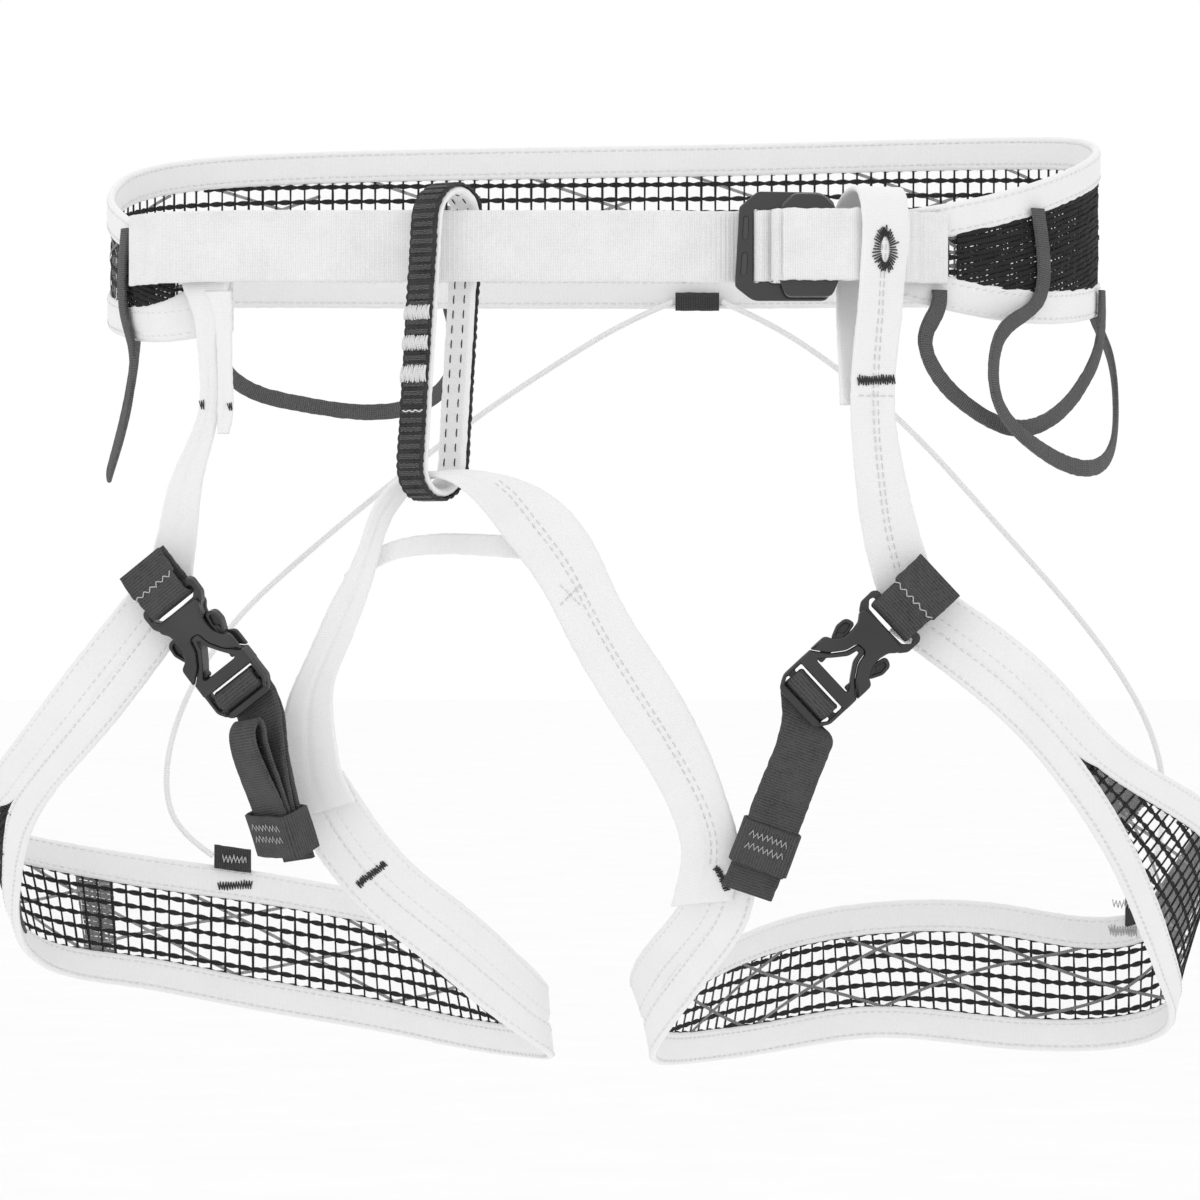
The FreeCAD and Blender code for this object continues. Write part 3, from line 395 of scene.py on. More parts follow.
class Nodes:
    """Small helper for building a material's nodes."""

    def __init__(self, name):
        self.material = bpy.data.materials.new(name)
        self.material.use_nodes = True
        self.tree = self.material.node_tree
        self.shader = self.tree.nodes["Principled BSDF"]

    def add(self, kind, **settings):
        node = self.tree.nodes.new(kind)
        for key, value in settings.items():
            setattr(node, key, value)
        return node

    def link(self, a, b):
        self.tree.links.new(a, b)

    def math(self, operation, a, b=None):
        node = self.add("ShaderNodeMath", operation=operation)
        for socket, value in zip(node.inputs, (a, b)):
            if value is None:
                continue
            if isinstance(value, (int, float)):
                socket.default_value = value
            else:
                self.link(value, socket)
        return node.outputs[0]

    def lay(self):
        """Places across and along the cloth, in millimetres."""
        node = self.add("ShaderNodeAttribute", attribute_name="lay")
        split = self.add("ShaderNodeSeparateXYZ")
        self.link(node.outputs["Vector"], split.inputs[0])
        return split.outputs[0], split.outputs[1]

    def noise(self, scale, detail=3.0, rough=0.5):
        place = self.add("ShaderNodeTexCoord")
        node = self.add("ShaderNodeTexNoise")
        node.inputs["Scale"].default_value = scale
        node.inputs["Detail"].default_value = detail
        node.inputs["Roughness"].default_value = rough
        self.link(place.outputs["Object"], node.inputs["Vector"])
        return node.outputs["Fac"]

    def wave(self, value, pitch):
        """0 to 1 and back once every pitch millimetres of value."""
        turn = self.math("MULTIPLY", value, 2 * math.pi / pitch)
        return self.math("MULTIPLY_ADD", self.math("SINE", turn), 0.5)

    def ramp(self, value, *stops):
        node = self.add("ShaderNodeValToRGB")
        ramp = node.color_ramp
        while len(ramp.elements) < len(stops):
            ramp.elements.new(0.5)
        for element, (at, colour) in zip(ramp.elements, stops):
            element.position = at
            element.color = (*colour, 1) if len(colour) == 3 else colour
        self.link(value, node.inputs[0])
        return node.outputs[0]

    def bump(self, height, distance, strength=1.0, below=None):
        node = self.add("ShaderNodeBump")
        node.inputs["Strength"].default_value = strength
        node.inputs["Distance"].default_value = distance * MM
        self.link(height, node.inputs["Height"])
        if below is not None:
            self.link(below, node.inputs["Normal"])
        return node.outputs[0]

    def finish(self, colour, normal=None, roughness=0.8, **sockets):
        s = self.shader
        self.link(colour, s.inputs["Base Color"])
        if normal is not None:
            self.link(normal, s.inputs["Normal"])
        if isinstance(roughness, (int, float)):
            s.inputs["Roughness"].default_value = roughness
        else:
            self.link(roughness, s.inputs["Roughness"])
        for key, value in sockets.items():
            s.inputs[key.replace("_", " ")].default_value = value
        return self.material


def grey(value):
    return (value, value, value)


def cloth(name, dark, light, pitch_along, pitch_across, depth, rough=0.85, streak=0.0, patch=0.06, sheen=0.15,
          speckle=0.0):
    """Woven strap: picks across it every pitch_along, warp ends every pitch_across; the colour darkens in the
    hollows of the weave, which is painted shade.
    """
    n = Nodes(name)
    u, s = n.lay()
    warp = n.noise(420, 2.0)
    drift = n.math("MULTIPLY", warp, 0.5)
    picks = n.wave(n.math("ADD", s, drift), pitch_along)
    ends = n.wave(n.math("ADD", u, n.math("MULTIPLY", warp, 0.25)), pitch_across)
    weave = n.math("ADD", n.math("MULTIPLY", picks, 0.6), n.math("MULTIPLY", ends, 0.4))
    broad = n.noise(55, 4.0, 0.6)
    fine = n.noise(1500, 2.0, 0.6)
    shade = n.math("ADD", n.math("MULTIPLY", weave, 0.55), n.math("MULTIPLY", fine, 0.45 + speckle))
    shade = n.math("ADD", shade, n.math("MULTIPLY", n.math("SUBTRACT", broad, 0.5), patch * 6))
    # Streak: random light and dark bands along the cloth. On the belay cover and the dark straps its light
    # bands are painted highlight, standing in for the light on ripple crests.
    if streak:
        bands = n.noise(170, 3.0, 0.7)
        shade = n.math("ADD", shade, n.math("MULTIPLY", n.math("SUBTRACT", bands, 0.5), streak))
    # Painted shade: the ramp darkens the hollows of the weave and of the fine fibre noise, which also drive
    # the bumps; the broad patches add random tone.
    colour = n.ramp(shade, (0.15, dark), (0.75, light))
    small = n.bump(fine, depth * 0.6, 0.5)
    normal = n.bump(weave, depth, 0.9, small)
    return n.finish(colour, normal, rough, Sheen_Weight=sheen, Sheen_Roughness=0.5, Specular_IOR_Level=0.25)


def thread_material(name, dark, light):
    """Sewing thread, with painted shade in the hollows of its twist."""
    n = Nodes(name)
    u, s = n.lay()
    twist = n.wave(n.math("ADD", s, n.math("MULTIPLY", u, 0.11)), 0.7)
    fine = n.noise(1800, 2.0)
    shade = n.math("ADD", n.math("MULTIPLY", twist, 0.6), n.math("MULTIPLY", fine, 0.4))
    # Painted shade: the twist's hollows get the darker colour.
    colour = n.ramp(shade, (0.1, dark), (0.8, light))
    return n.finish(colour, n.bump(twist, 0.08, 0.8), 0.7, Specular_IOR_Level=0.3)


def hard_material(name, dark, light, rough, depth, coat):
    """Moulded plastic or coated metal, with a fine grain."""
    n = Nodes(name)
    grain = n.noise(900, 4.0, 0.6)
    broad = n.noise(40, 3.0, 0.5)
    colour = n.ramp(broad, (0.3, dark), (0.7, light))
    patches = n.add("ShaderNodeMapRange")
    patches.inputs["To Min"].default_value = rough * 0.8
    patches.inputs["To Max"].default_value = rough * 1.25
    n.link(n.noise(120, 3.0, 0.6), patches.inputs["Value"])
    return n.finish(colour, n.bump(grain, depth, 0.4), patches.outputs[0], Specular_IOR_Level=0.5,
                    Coat_Weight=coat)


def film_material():
    """Clear, slightly creased film behind the open yarn grids; its colour follows the crease bump, lighter on
    the rises and darker in the dips, which is painted light and shade.
    """
    n = Nodes("clear_film")
    wrinkle = n.noise(260, 5.0, 0.65)
    # Painted light and shade: the same wrinkle noise sets the bump and the colour.
    colour = n.ramp(wrinkle, (0.3, grey(0.78)), (0.7, grey(0.95)))
    return n.finish(colour, n.bump(wrinkle, 0.25, 0.5), 0.25, Alpha=0.16)


CLOTHS = {
    "white_webbing": (0.74, 0.86, 0.62, 0.5, 0.05, dict(patch=0.05)),
    "rib_webbing": (0.62, 0.86, 0.6, 0.5, 0.06, dict(streak=0.25)),
    "white_binding": (0.72, 0.86, 0.5, 0.45, 0.04, dict(patch=0.04)),
    "dark_webbing": (0.010, 0.055, 0.9, 0.7, 0.14, dict(speckle=0.2, sheen=0.02)),
    "streak_webbing": (0.010, 0.075, 1.0, 0.6, 0.14, dict(speckle=0.3, streak=0.5, sheen=0.02)),
    "cover_webbing": (0.005, 0.05, 0.9, 0.5, 0.2, dict(speckle=0.4, streak=1.1, sheen=0.0)),
    "grey_webbing": (0.035, 0.13, 0.8, 0.7, 0.12, dict(patch=0.05, sheen=0.03)),
    "elastic": (0.66, 0.85, 0.9, 1.0, 0.08, {}),
    "black_mesh": (0.004, 0.03, 0.8, 0.5, 0.08, dict(sheen=0.0)),
    "ply_mesh": (0.07, 0.26, 0.8, 0.5, 0.08, dict(sheen=0.03)),
}
# The thread colour used on the belay cover's ripple crests is a painted highlight.
THREADS = {"dark_thread": (0.008, 0.06), "white_thread": (0.6, 0.86), "seam_thread": (0.56, 0.78),
           "crest_highlight_thread": (0.03, 0.26), "grey_thread": (0.25, 0.62)}
HARD = {"black_metal": (0.006, 0.016, 0.24, 0.02, 0.6), "recess_metal": (0.03, 0.06, 0.42, 0.02, 0.2),
        "dark_plastic": (0.016, 0.032, 0.38, 0.05, 0.0)}
FINISHES = {}
for key, (dark, light, along, across, depth, more) in CLOTHS.items():
    FINISHES[key] = cloth(key, grey(dark), grey(light), along, across, depth, **more)
for key, (dark, light) in THREADS.items():
    FINISHES[key] = thread_material(key, grey(dark), grey(light))
for key, (dark, light, rough, depth, coat) in HARD.items():
    FINISHES[key] = hard_material(key, grey(dark), grey(light), rough, depth, coat)
FINISHES["clear_film"] = film_material()
SLOTS = {key: key for key in FINISHES}
SLOTS.update({"rib_webbing": "white_webbing", "streak_webbing": "dark_webbing", "ply_mesh": "black_mesh",
              "cover_webbing": "dark_webbing", "seam_thread": "white_webbing", "crest_highlight_thread": "dark_webbing",
              "dark_thread": "black_mesh", "white_thread": "white_webbing", "grey_thread": "grey_webbing",
              "recess_metal": "black_metal", "clear_film": "black_mesh"})


def on(body, *objects, stands_for=()):
    """Let the objects ride on a body; the first one replaces the CAD nodes."""
    for obj in objects:
        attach(obj, body)
    if stands_for:
        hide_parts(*stands_for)
    return objects[0]


def bend(a, b, start, end, *objects, stands_for=()):
    """Bake the objects' placement into their meshes; the first one replaces the CAD nodes. Bodies a and b and
    the points start and end are not used.
    """
    for obj in objects:
        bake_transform(obj)
    if stands_for:
        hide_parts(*stands_for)
    return objects[0]


# ---------------------------------------------------------------- open mesh panels

CELL = 5.4
YARN_THICK = 0.5
PLY_THICK = 0.2
DENSE_PITCH = 1.9
PLY_PITCH = 61.0
PLY_SLOPE = 0.36
FILM_COLUMNS = 9


class Opening:
    """The part of a band that is open mesh: between low(width) and high(width), where that is wide enough."""

    def __init__(self, band, low, high):
        self.band = band
        self.low = low
        self.high = high
        wide = np.flatnonzero(high(band.width) - low(band.width) > 1.2)
        self.first = band.s[wide[0]]
        self.last = band.s[wide[-1]]

    def edges(self, s):
        """Both edges of the opening at an array of distances along the band."""
        w = np.interp(s, self.band.s, self.band.width)
        return self.low(w), self.high(w)

    def run(self, s, u, v, half, crosswise=False):
        """A flat yarn through s, u and v, which lies along the band or crosswise."""
        line = self.band.place(s, u, np.full(len(s), v))
        flat, normal = self.band.row(s)[1:3]
        return line, unit(np.cross(flat, normal)) if crosswise else flat, normal, half

    def crosswise(self, s, past, v, lean, half):
        """A crosswise yarn at s that runs a little past both edges."""
        a, b = self.edges(np.array([s]))
        u = np.linspace(float(a[0]) - past, float(b[0]) + past, 7)
        return self.run(s + lean, u, v, half, crosswise=True)


def open_yarns(opening, seed):
    """The square grid of yarns."""
    runs = []
    count = int((opening.last - opening.first) / CELL)
    for i in range(count + 1):
        s = opening.first + 1.0 + i * CELL + 0.35 * noise.noise(Vector((i * 0.7, seed, 0)))
        if s > opening.last:
            break
        lean = 0.25 * noise.noise(Vector((i * 1.3, 4.0, seed)))
        half = 0.42 + 0.1 * np.sin(np.linspace(0, 9, 7) + i)
        runs.append(opening.crosswise(s, 0.6, -0.25, np.linspace(-lean, lean, 7), half))
    fine = np.arange(opening.first, opening.last, 0.9)
    low, high = opening.edges(fine)
    for k in range(-6, 7):
        u = (low + high) / 2 + k * CELL + (0 if k % 2 else 0.2)
        inside = (u > low + 1.4) & (u < high - 1.4)
        edges = np.flatnonzero(np.diff(np.concatenate([[0], inside.astype(int), [0]])))
        for first, last in zip(edges[::2], edges[1::2]):
            if last - first < 6:
                continue
            s = fine[first:last]
            pulse = np.abs(np.cos(np.pi * (s - opening.first - 1.0) / CELL + k))
            runs.append(opening.run(s, u[first:last], 0.1, 0.5 + 0.55 * pulse))
    return runs


def dense_yarns(opening, first, last, seed):
    """The close second layer between two distances along the band."""
    runs = []
    fine = np.arange(opening.first, opening.last, 0.9)
    fine = fine[(fine > first) & (fine < last)]
    low, high = opening.edges(fine)
    for k in range(int((float((high - low).max()) + 2) / DENSE_PITCH)):
        u = low - 0.5 + k * DENSE_PITCH
        inside = u < high + 0.4
        if inside.sum() < 4:
            continue
        line, across, normal, half = opening.run(fine[inside], u[inside], 0.75 + 0.2 * (k % 2), 0.85)
        ragged = noise_at(line, 4.0, k)
        runs.append((line + normal * 0.5 * ragged[:, None], across, normal, half + 0.35 * ragged))
    for s in np.arange(first, last, 2.1):
        sway = 0.5 * np.array([noise.noise(Vector((s, t, seed))) for t in range(7)])
        runs.append(opening.crosswise(s, 0.4, 0.6, sway, 0.5 + 0.2 * np.sin(np.arange(7) + s)))
    return runs


def edge_yarns(opening):
    """The yarn along each edge."""
    fine = np.arange(opening.first, opening.last, 0.9)
    low, high = opening.edges(fine)
    half = 0.7 + 0.25 * np.sin(fine * 2 * np.pi / CELL)
    return [opening.run(fine, u, 0.12, half) for u in (low + 0.8, high - 0.8)]


def slanting_plies(opening):
    """Flat plies that cross the opening both ways."""
    plies = []
    for way in (1, -1):
        for first in np.arange(opening.first - 60, opening.last, PLY_PITCH):
            start = first + (0 if way > 0 else 17)
            where = np.arange(start, start + 90, 1.5)
            low, high = opening.edges(where)
            rise = (where - start) * PLY_SLOPE
            u = low + rise if way > 0 else high - rise
            inside = (where > opening.first) & (where < opening.last) & (u > low) & (u < high)
            if inside.sum() < 4:
                continue
            line, _, normal, half = opening.run(where[inside], u[inside], 0.45 + 0.1 * way, 0.6)
            plies.append((line, unit(np.cross(normal, unit(np.gradient(line, axis=0)))), normal, half))
    return plies


def mesh_panel(name, band, low, high, node, body, seed=0.0, dense=()):
    """Open yarn grid and slanting plies on a clear film, whose size and area are printed."""
    opening = Opening(band, low, high)
    runs = open_yarns(opening, seed)
    for first, last in dense:
        runs += dense_yarns(opening, first, last, seed)
    runs += edge_yarns(opening)
    grid = tapes(name + "_grid", runs, YARN_THICK, "black_mesh")
    ply = tapes(name + "_plies", slanting_plies(opening), PLY_THICK, "ply_mesh")
    rows = np.arange(opening.first, opening.last, 3.0)
    a, b = opening.edges(rows)
    u = a[:, None] + (b - a)[:, None] * np.linspace(0, 1, FILM_COLUMNS)[None]
    s = np.repeat(rows[:, None], FILM_COLUMNS, 1)
    points = band.place(s, u, np.full(u.shape, -0.05))
    corner = [i * FILM_COLUMNS + c for i in range(len(rows) - 1) for c in range(FILM_COLUMNS - 1)]
    faces = [(k, k + 1, k + FILM_COLUMNS + 1, k + FILM_COLUMNS) for k in corner]
    lay = np.stack([u, s, np.zeros_like(u)], axis=-1)
    film = mesh_object(name + "_film", points.reshape(-1, 3), faces, "clear_film", lay.reshape(-1, 3))
    on(body, film, grid, ply)
    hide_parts(node)
    wide = np.linalg.norm(points[:, -1] - points[:, 0], axis=1)
    steps = np.linalg.norm(np.diff(points.mean(axis=1), axis=0), axis=1)
    area = float((steps * (wide[1:] + wide[:-1]) / 2).sum()) * MM * MM
    flat = (float(wide.max()) * MM, float(steps.sum()) * MM)
    area = min(max(area, 0.3 * flat[0] * flat[1]), flat[0] * flat[1])
    print("SHEET", name, [round(x, 4) for x in flat], round(area, 5))


# ---------------------------------------------------------------- waist belt

# Route points of the belt: x, y, height of the top edge, height of the bottom edge.
BELT = [
    (-129, -80, -8, -38), (-152, -71, -3, -41), (-170, -44, 6, -38), (-178, -5, 16, -32),
    (-174, 35, 27, -25), (-155, 64, 34, -22), (-115, 80, 38, -21), (-55, 86, 40, -21),
    (0, 87, 41, -21), (60, 86, 42, -21), (120, 79, 43, -21), (160, 58, 42, -23),
    (179, 22, 38, -26), (180, -12, 31, -29), (167, -42, 22, -33), (140, -64, 12, -33),
    (101, -79, 4, -25),
]
BINDING = 12.2
BINDING_THICK = 3.0
TAPE_THICK = 2.8
SEAM = 0.3
EDGE_SEAM = 1.9
INNER_SEAM = 10.0
STITCH = 3.0
DIP = (0.22, 0.35)
MESH_TUCK = 1.5
BELT_SEAM_V = 1.42
LEG_SEAM_V = 1.38
CORNER_DEPTH = 9
CORNER_REACH = 24
THIN_STITCH = np.array([-0.15, 0.1, -0.15])

belt = Band([((x, y, top), (x, y, bottom)) for x, y, top, bottom in BELT], 0.9)
belt_dips = tuple((u, *DIP) for u in (EDGE_SEAM, INNER_SEAM))
top_binding = strap("waist_binding_top_tape", belt, TAPE_THICK, "white_binding", near_edge(0),
                    near_edge(BINDING), ragged=0.12, dips=belt_dips, puff=0.1)
bottom_binding = strap("waist_binding_bottom_tape", belt, TAPE_THICK, "white_binding",
                       lambda w: w - BINDING - CORNER_DEPTH * np.exp(-(belt.s / CORNER_REACH) ** 2),
                       lambda w: w, ragged=0.12, dips=belt_dips, puff=0.1)
on("root", top_binding, stands_for=["waist_binding_top"])
on("root", bottom_binding, stands_for=["waist_binding_bottom"])
lines = []
for v in (BELT_SEAM_V, -BELT_SEAM_V):
    for u in (EDGE_SEAM, INNER_SEAM):
        lines += stitch_row(belt, STITCH, belt.length - 4, u, v, STITCH, 2.0)
        for i in range(int((belt.length - 2 * STITCH) / STITCH)):
            s = STITCH + i * STITCH
            w = float(np.interp(s, belt.s, belt.width))
            where = np.array([s, s + 1.0, s + 2.0])
            lines.append(belt.place(where, np.full(3, w - u), v + THIN_STITCH * np.sign(v)))
on("root", threads("waist_binding_stitches", lines, 0.22, "white_thread", 5))
mesh_panel("waist_mesh", belt, near_edge(BINDING - MESH_TUCK), far_edge(BINDING - MESH_TUCK),
           "waist_panel_mesh", "root",
           dense=((belt.stops[1] - 4, belt.stops[2] + 6), (belt.stops[13] + 4, belt.stops[15] + 20)))

# Buckle layers, one behind the other.
TOP = 4.0
WEB = 25.0
FRAME_LEFT = 47.0
FRAME_Y = -89.0
PLATE = 3.0
GAP = 0.4
THIN = 1.8
WEB_THICK = 1.7
BEHIND_Y = FRAME_Y + PLATE / 2 + GAP + THIN / 2
RETURN_Y = FRAME_Y - PLATE / 2 - GAP - THIN - GAP - THIN / 2
SLIDE_Y = RETURN_Y - THIN / 2 - GAP - PLATE / 2
BIGHT_Y = SLIDE_Y - PLATE / 2 - GAP - THIN / 2
ROD_X = FRAME_LEFT + 6.2 + 2.6 + 1.4
SLIDE_LEFT = ROD_X + 5.0
SLIDE_RIGHT = SLIDE_LEFT + 21.0

rod_reach = 1.4 + GAP + THIN / 2
near_rod = ROD_X - rod_reach
doubled = BEHIND_Y + THIN + GAP
front_plan = [(-166, -64), (-154, -79.5), (-136, -88), (-110, -91), (-50, -91), (0, -90), (28, -88),
              (FRAME_LEFT - 6, BEHIND_Y), (near_rod - 1.4, BEHIND_Y), (near_rod - 0.3, BEHIND_Y - 0.7)]
front_plan += arc_plan(ROD_X, FRAME_Y, rod_reach, 180, 360, 6)
front_plan += [(ROD_X + rod_reach, BEHIND_Y - 1.4), (ROD_X + rod_reach - 0.6, BEHIND_Y + 0.6),
               (ROD_X, doubled - 0.2), (near_rod - 1, doubled), (FRAME_LEFT - 12, doubled)]
front_band = Band(flat_pairs(front_plan, TOP, WEB), 0.28, wobble=0.12)
front_web = strap("waist_webbing_front_strap", front_band, WEB_THICK, "rib_webbing", ribs=(1.72, 0.30),
                  ragged=0.22, columns=18)
on("root", front_web, stands_for=["waist_webbing_front"])

bight = PLATE / 2 + GAP + THIN / 2
loose = SLIDE_RIGHT + 3.0 + 1.5
right_plan = [(122, -75.5), (110, -83.4), (99, -91.5), (92.5, -97)]
right_plan += [(x, BIGHT_Y) for x in (loose, SLIDE_RIGHT - 4, SLIDE_LEFT + 10, SLIDE_LEFT + bight)]
right_plan += arc_plan(SLIDE_LEFT + 1, SLIDE_Y, bight, 270, 90, 6)
right_plan += [(SLIDE_LEFT + 8, RETURN_Y), (SLIDE_LEFT + 15, RETURN_Y)]
right_band = Band(flat_pairs(right_plan, TOP, WEB), 0.3, wobble=0.1)
right_web = strap("waist_webbing_right_strap", right_band, WEB_THICK, "rib_webbing", ribs=(2.3, 0.34),
                  ragged=0.4, columns=18)
on("root", right_web, stands_for=["waist_webbing_right"])
tail_band = right_band.cut(right_band.stops[1], right_band.stops[8])
tail_web = strap("waist_webbing_tail_strap", tail_band, WEB_THICK, "rib_webbing", lift=THIN + GAP,
                 ribs=(2.3, 0.3), ragged=0.5, columns=18)
on("root", tail_web, stands_for=["waist_webbing_tail"])

# ---------------------------------------------------------------- plates


def rounded(corners, count=6):
    """Closed outline through corners (x, y, radius), with each corner turned into an arc."""
    outline = []
    n = len(corners)
    for i, (x, y, r) in enumerate(corners):
        p = np.array([x, y], float)
        back = np.array(corners[i - 1][:2], float) - p
        ahead = np.array(corners[(i + 1) % n][:2], float) - p
        lb, la = np.linalg.norm(back), np.linalg.norm(ahead)
        back, ahead = back / lb, ahead / la
        angle = math.acos(max(-1, min(1, float(back @ ahead))))
        if r <= 0 or angle > math.pi - 0.02:
            outline.append(tuple(p))
            continue
        reach = min(r / math.tan(angle / 2), 0.48 * lb, 0.48 * la)
        for t in np.linspace(0, 1, count):
            q = (1 - t) ** 2 * (p + back * reach) + 2 * t * (1 - t) * p + t ** 2 * (p + ahead * reach)
            outline.append(tuple(q))
    return outline


def plate(name, outlines, low, high, edge, finish, matrix):
    """Flat plate with rounded edges between heights low and high; the first outline is its rim."""
    data = bpy.data.curves.new(name + "_outline", "CURVE")
    data.dimensions = "2D"
    data.fill_mode = "BOTH"
    for outline in outlines:
        line = data.splines.new("POLY")
        line.points.add(len(outline) - 1)
        for point, (x, y) in zip(line.points, outline):
            point.co = (x, y, 0, 1)
        line.use_cyclic_u = True
    data.extrude = (high - low) / 2 - edge
    data.bevel_depth = edge
    data.bevel_resolution = 3
    data.offset = -edge
    holder = bpy.data.objects.new(name + "_outline", data)
    bpy.context.scene.collection.objects.link(holder)
    made = bpy.data.meshes.new_from_object(holder)
    bpy.data.objects.remove(holder)
    place = Matrix.Translation((0, 0, (high + low) / 2))
    made.transform(Matrix.Scale(MM, 4) @ matrix @ place)
    made.materials.clear()
    made.materials.append(FINISHES[finish])
    made.polygons.foreach_set("use_smooth", [True] * len(made.polygons))
    made.name = name
    obj = bpy.data.objects.new(name, made)
    bpy.context.scene.collection.objects.link(obj)
    weld = obj.modifiers.new("weld", "WELD")
    weld.merge_threshold = 0.00001
    crease = obj.modifiers.new("edges", "WEIGHTED_NORMAL")
    crease.keep_sharp = True
    return obj


def facing(x, y, z):
    """Places a plate drawn in X and Z at depth y, facing the front."""
    return Matrix(((1, 0, 0, x), (0, 0, -1, y), (0, 1, 0, z), (0, 0, 0, 1)))


FRONT = facing(0, FRAME_Y, 0)
frame_rim = rounded([(48.6, 5.2, 2), (55.0, 10.6, 4), (77.0, 10.2, 6), (81.8, 6.8, 3), (81.9, -24.0, 3),
                     (78.5, -27.7, 3), (53.4, -27.7, 6), (47.1, -22.8, 4), (47.15, -19.8, 2),
                     (48.2, -2.5, 6)])
frame_hole_left = rounded([(53.4, 4.4, 1.2), (55.9, 4.4, 1.2), (55.9, -21.4, 1.2), (53.4, -21.4, 1.2)])
frame_hole_right = rounded([(58.6, 4.4, 1.6), (77.4, 4.4, 1.6), (77.4, -21.4, 1.6), (58.6, -21.4, 1.6)])
recess_high = rounded([(50.2, 1.9, 0.8), (51.8, 1.9, 0.8), (51.6, -6.3, 0.8), (49.8, -6.3, 0.8)])
recess_low = rounded([(49.7, -10.6, 0.8), (51.5, -10.6, 0.8), (51.1, -18.9, 0.8), (49.0, -18.9, 0.8)])
frame_outlines = [frame_rim, frame_hole_left, frame_hole_right, recess_high, recess_low]
buckle_frame = plate("waist_buckle_frame_plate", frame_outlines, -PLATE / 2, PLATE / 2, 0.5, "black_metal",
                     FRONT)
recess_outline = rounded([(49.6, 2.6, 1), (52.4, 2.6, 1), (52.0, -19.6, 1), (48.6, -19.6, 1)])
recess_floor = plate("waist_buckle_frame_recess", [recess_outline], -1.0, 0.85, 0.2, "recess_metal", FRONT)
on("buckle_frame", buckle_frame, recess_floor, stands_for=["waist_buckle_frame"])
slide_rim = rounded([(SLIDE_LEFT + 0.2, -4, 10), (SLIDE_LEFT + 0.6, 5.2, 4), (SLIDE_LEFT + 5.2, 9.5, 5),
                     (SLIDE_LEFT + 15.2, 9.3, 6), (SLIDE_RIGHT - 1.2, 4.6, 4), (SLIDE_RIGHT - 0.2, -2, 10),
                     (SLIDE_RIGHT - 0.2, -21, 6), (SLIDE_RIGHT - 2.6, -26.7, 3.6),
                     (SLIDE_LEFT + 2.4, -26.7, 3), (SLIDE_LEFT + 0.2, -21, 8)])
buckle_slide = plate("waist_buckle_slide_plate", [slide_rim], -PLATE / 2, PLATE / 2, 0.9, "black_metal",
                     facing(0, SLIDE_Y, 0))
on("buckle_slide", buckle_slide, stands_for=["waist_buckle_slide"])

# ---------------------------------------------------------------- belay loop

# An upright ring whose webbing is seen nearly edge on; its top leans towards the buckle.
BELAY_MIDDLE = np.array([-59.0, -91.0, 0.0])
BELAY_TOP = 13.0
BELAY_AXIS = np.array([0.62, 0.78, 0.0]) / math.hypot(0.62, 0.78)
BELAY_SIDE = np.array([-BELAY_AXIS[1], BELAY_AXIS[0], 0.0])
BELAY_LENGTH = 110.0
BELAY_REACH = 25.0
BELAY_WIDTH = 12.0
BELAY_LEAN = 6.5
COVER_THICK = 0.85
CORE_THICK = 2.6
RIPPLE = 0.75
RIPPLE_PITCH = 3.1


def belay_band(outside):
    """Closed upright ring of the given outer reach, as a band; it starts at the lowest point."""
    half = outside / 2
    low = BELAY_TOP - BELAY_LENGTH + BELAY_REACH / 2
    high = BELAY_TOP - BELAY_REACH / 2
    path = []
    for t in np.radians(np.linspace(-90, 0, 10)):
        path.append((half * math.cos(t), low + half * math.sin(t)))
    for z in np.linspace(low, high, 14)[1:-1]:
        path.append((half, z))
    for t in np.radians(np.linspace(0, 180, 19)):
        path.append((half * math.cos(t), high + half * math.sin(t)))
    for z in np.linspace(high, low, 14)[1:-1]:
        path.append((-half, z))
    for t in np.radians(np.linspace(180, 270, 10)):
        path.append((half * math.cos(t), low + half * math.sin(t)))
    pairs = []
    for reach, z in path:
        lean = BELAY_LEAN * (z - BELAY_TOP + BELAY_LENGTH) / BELAY_LENGTH
        middle = BELAY_MIDDLE + BELAY_AXIS * reach + np.array([lean, 0, z])
        pairs.append((middle - BELAY_SIDE * BELAY_WIDTH / 2, middle + BELAY_SIDE * BELAY_WIDTH / 2))
    return Band(pairs, 0.35, wobble=0.0)


def ring_side(band):
    """1 if the band's normal points outward."""
    middle = band.a.mean(axis=0)
    return 1 if float(((band.a - middle) * band.normal).sum()) > 0 else -1


def front_rows(z_low, z_high):
    """Rows of the cover's front limb between two heights, in order along the ring."""
    ahead = (cover_band.a - BELAY_MIDDLE) @ BELAY_AXIS < 0
    return np.flatnonzero(ahead & (cover_band.a[:, 2] > z_low) & (cover_band.a[:, 2] < z_high))


cover_band = belay_band(BELAY_REACH - 0.9)
out = ring_side(cover_band)
ripple = np.abs(np.sin(np.pi * (cover_band.s / RIPPLE_PITCH + 0.3 * noise_at(cover_band.a, 7.0, 2.0))))
swell = (RIPPLE * ripple - 0.1) * (0.6 + 0.5 * noise_at(cover_band.a, 9.0, 6.0)) * out
cover = strap("belay_loop_cover_strap", cover_band, COVER_THICK, "cover_webbing", ragged=0.3, columns=16,
              selvedge=0.3, lift=swell[:, None])
core_band = belay_band(BELAY_REACH - 1.8 - 2.8)
core = strap("belay_loop_core_strap", core_band, CORE_THICK, "white_webbing", ragged=0.3,
             dips=((0.2, 0.3, 0.5), (11.8, 0.3, 0.5)))
on("leg_loops", cover, stands_for=["belay_loop_cover"])
on("leg_loops", core, stands_for=["belay_loop_core"])

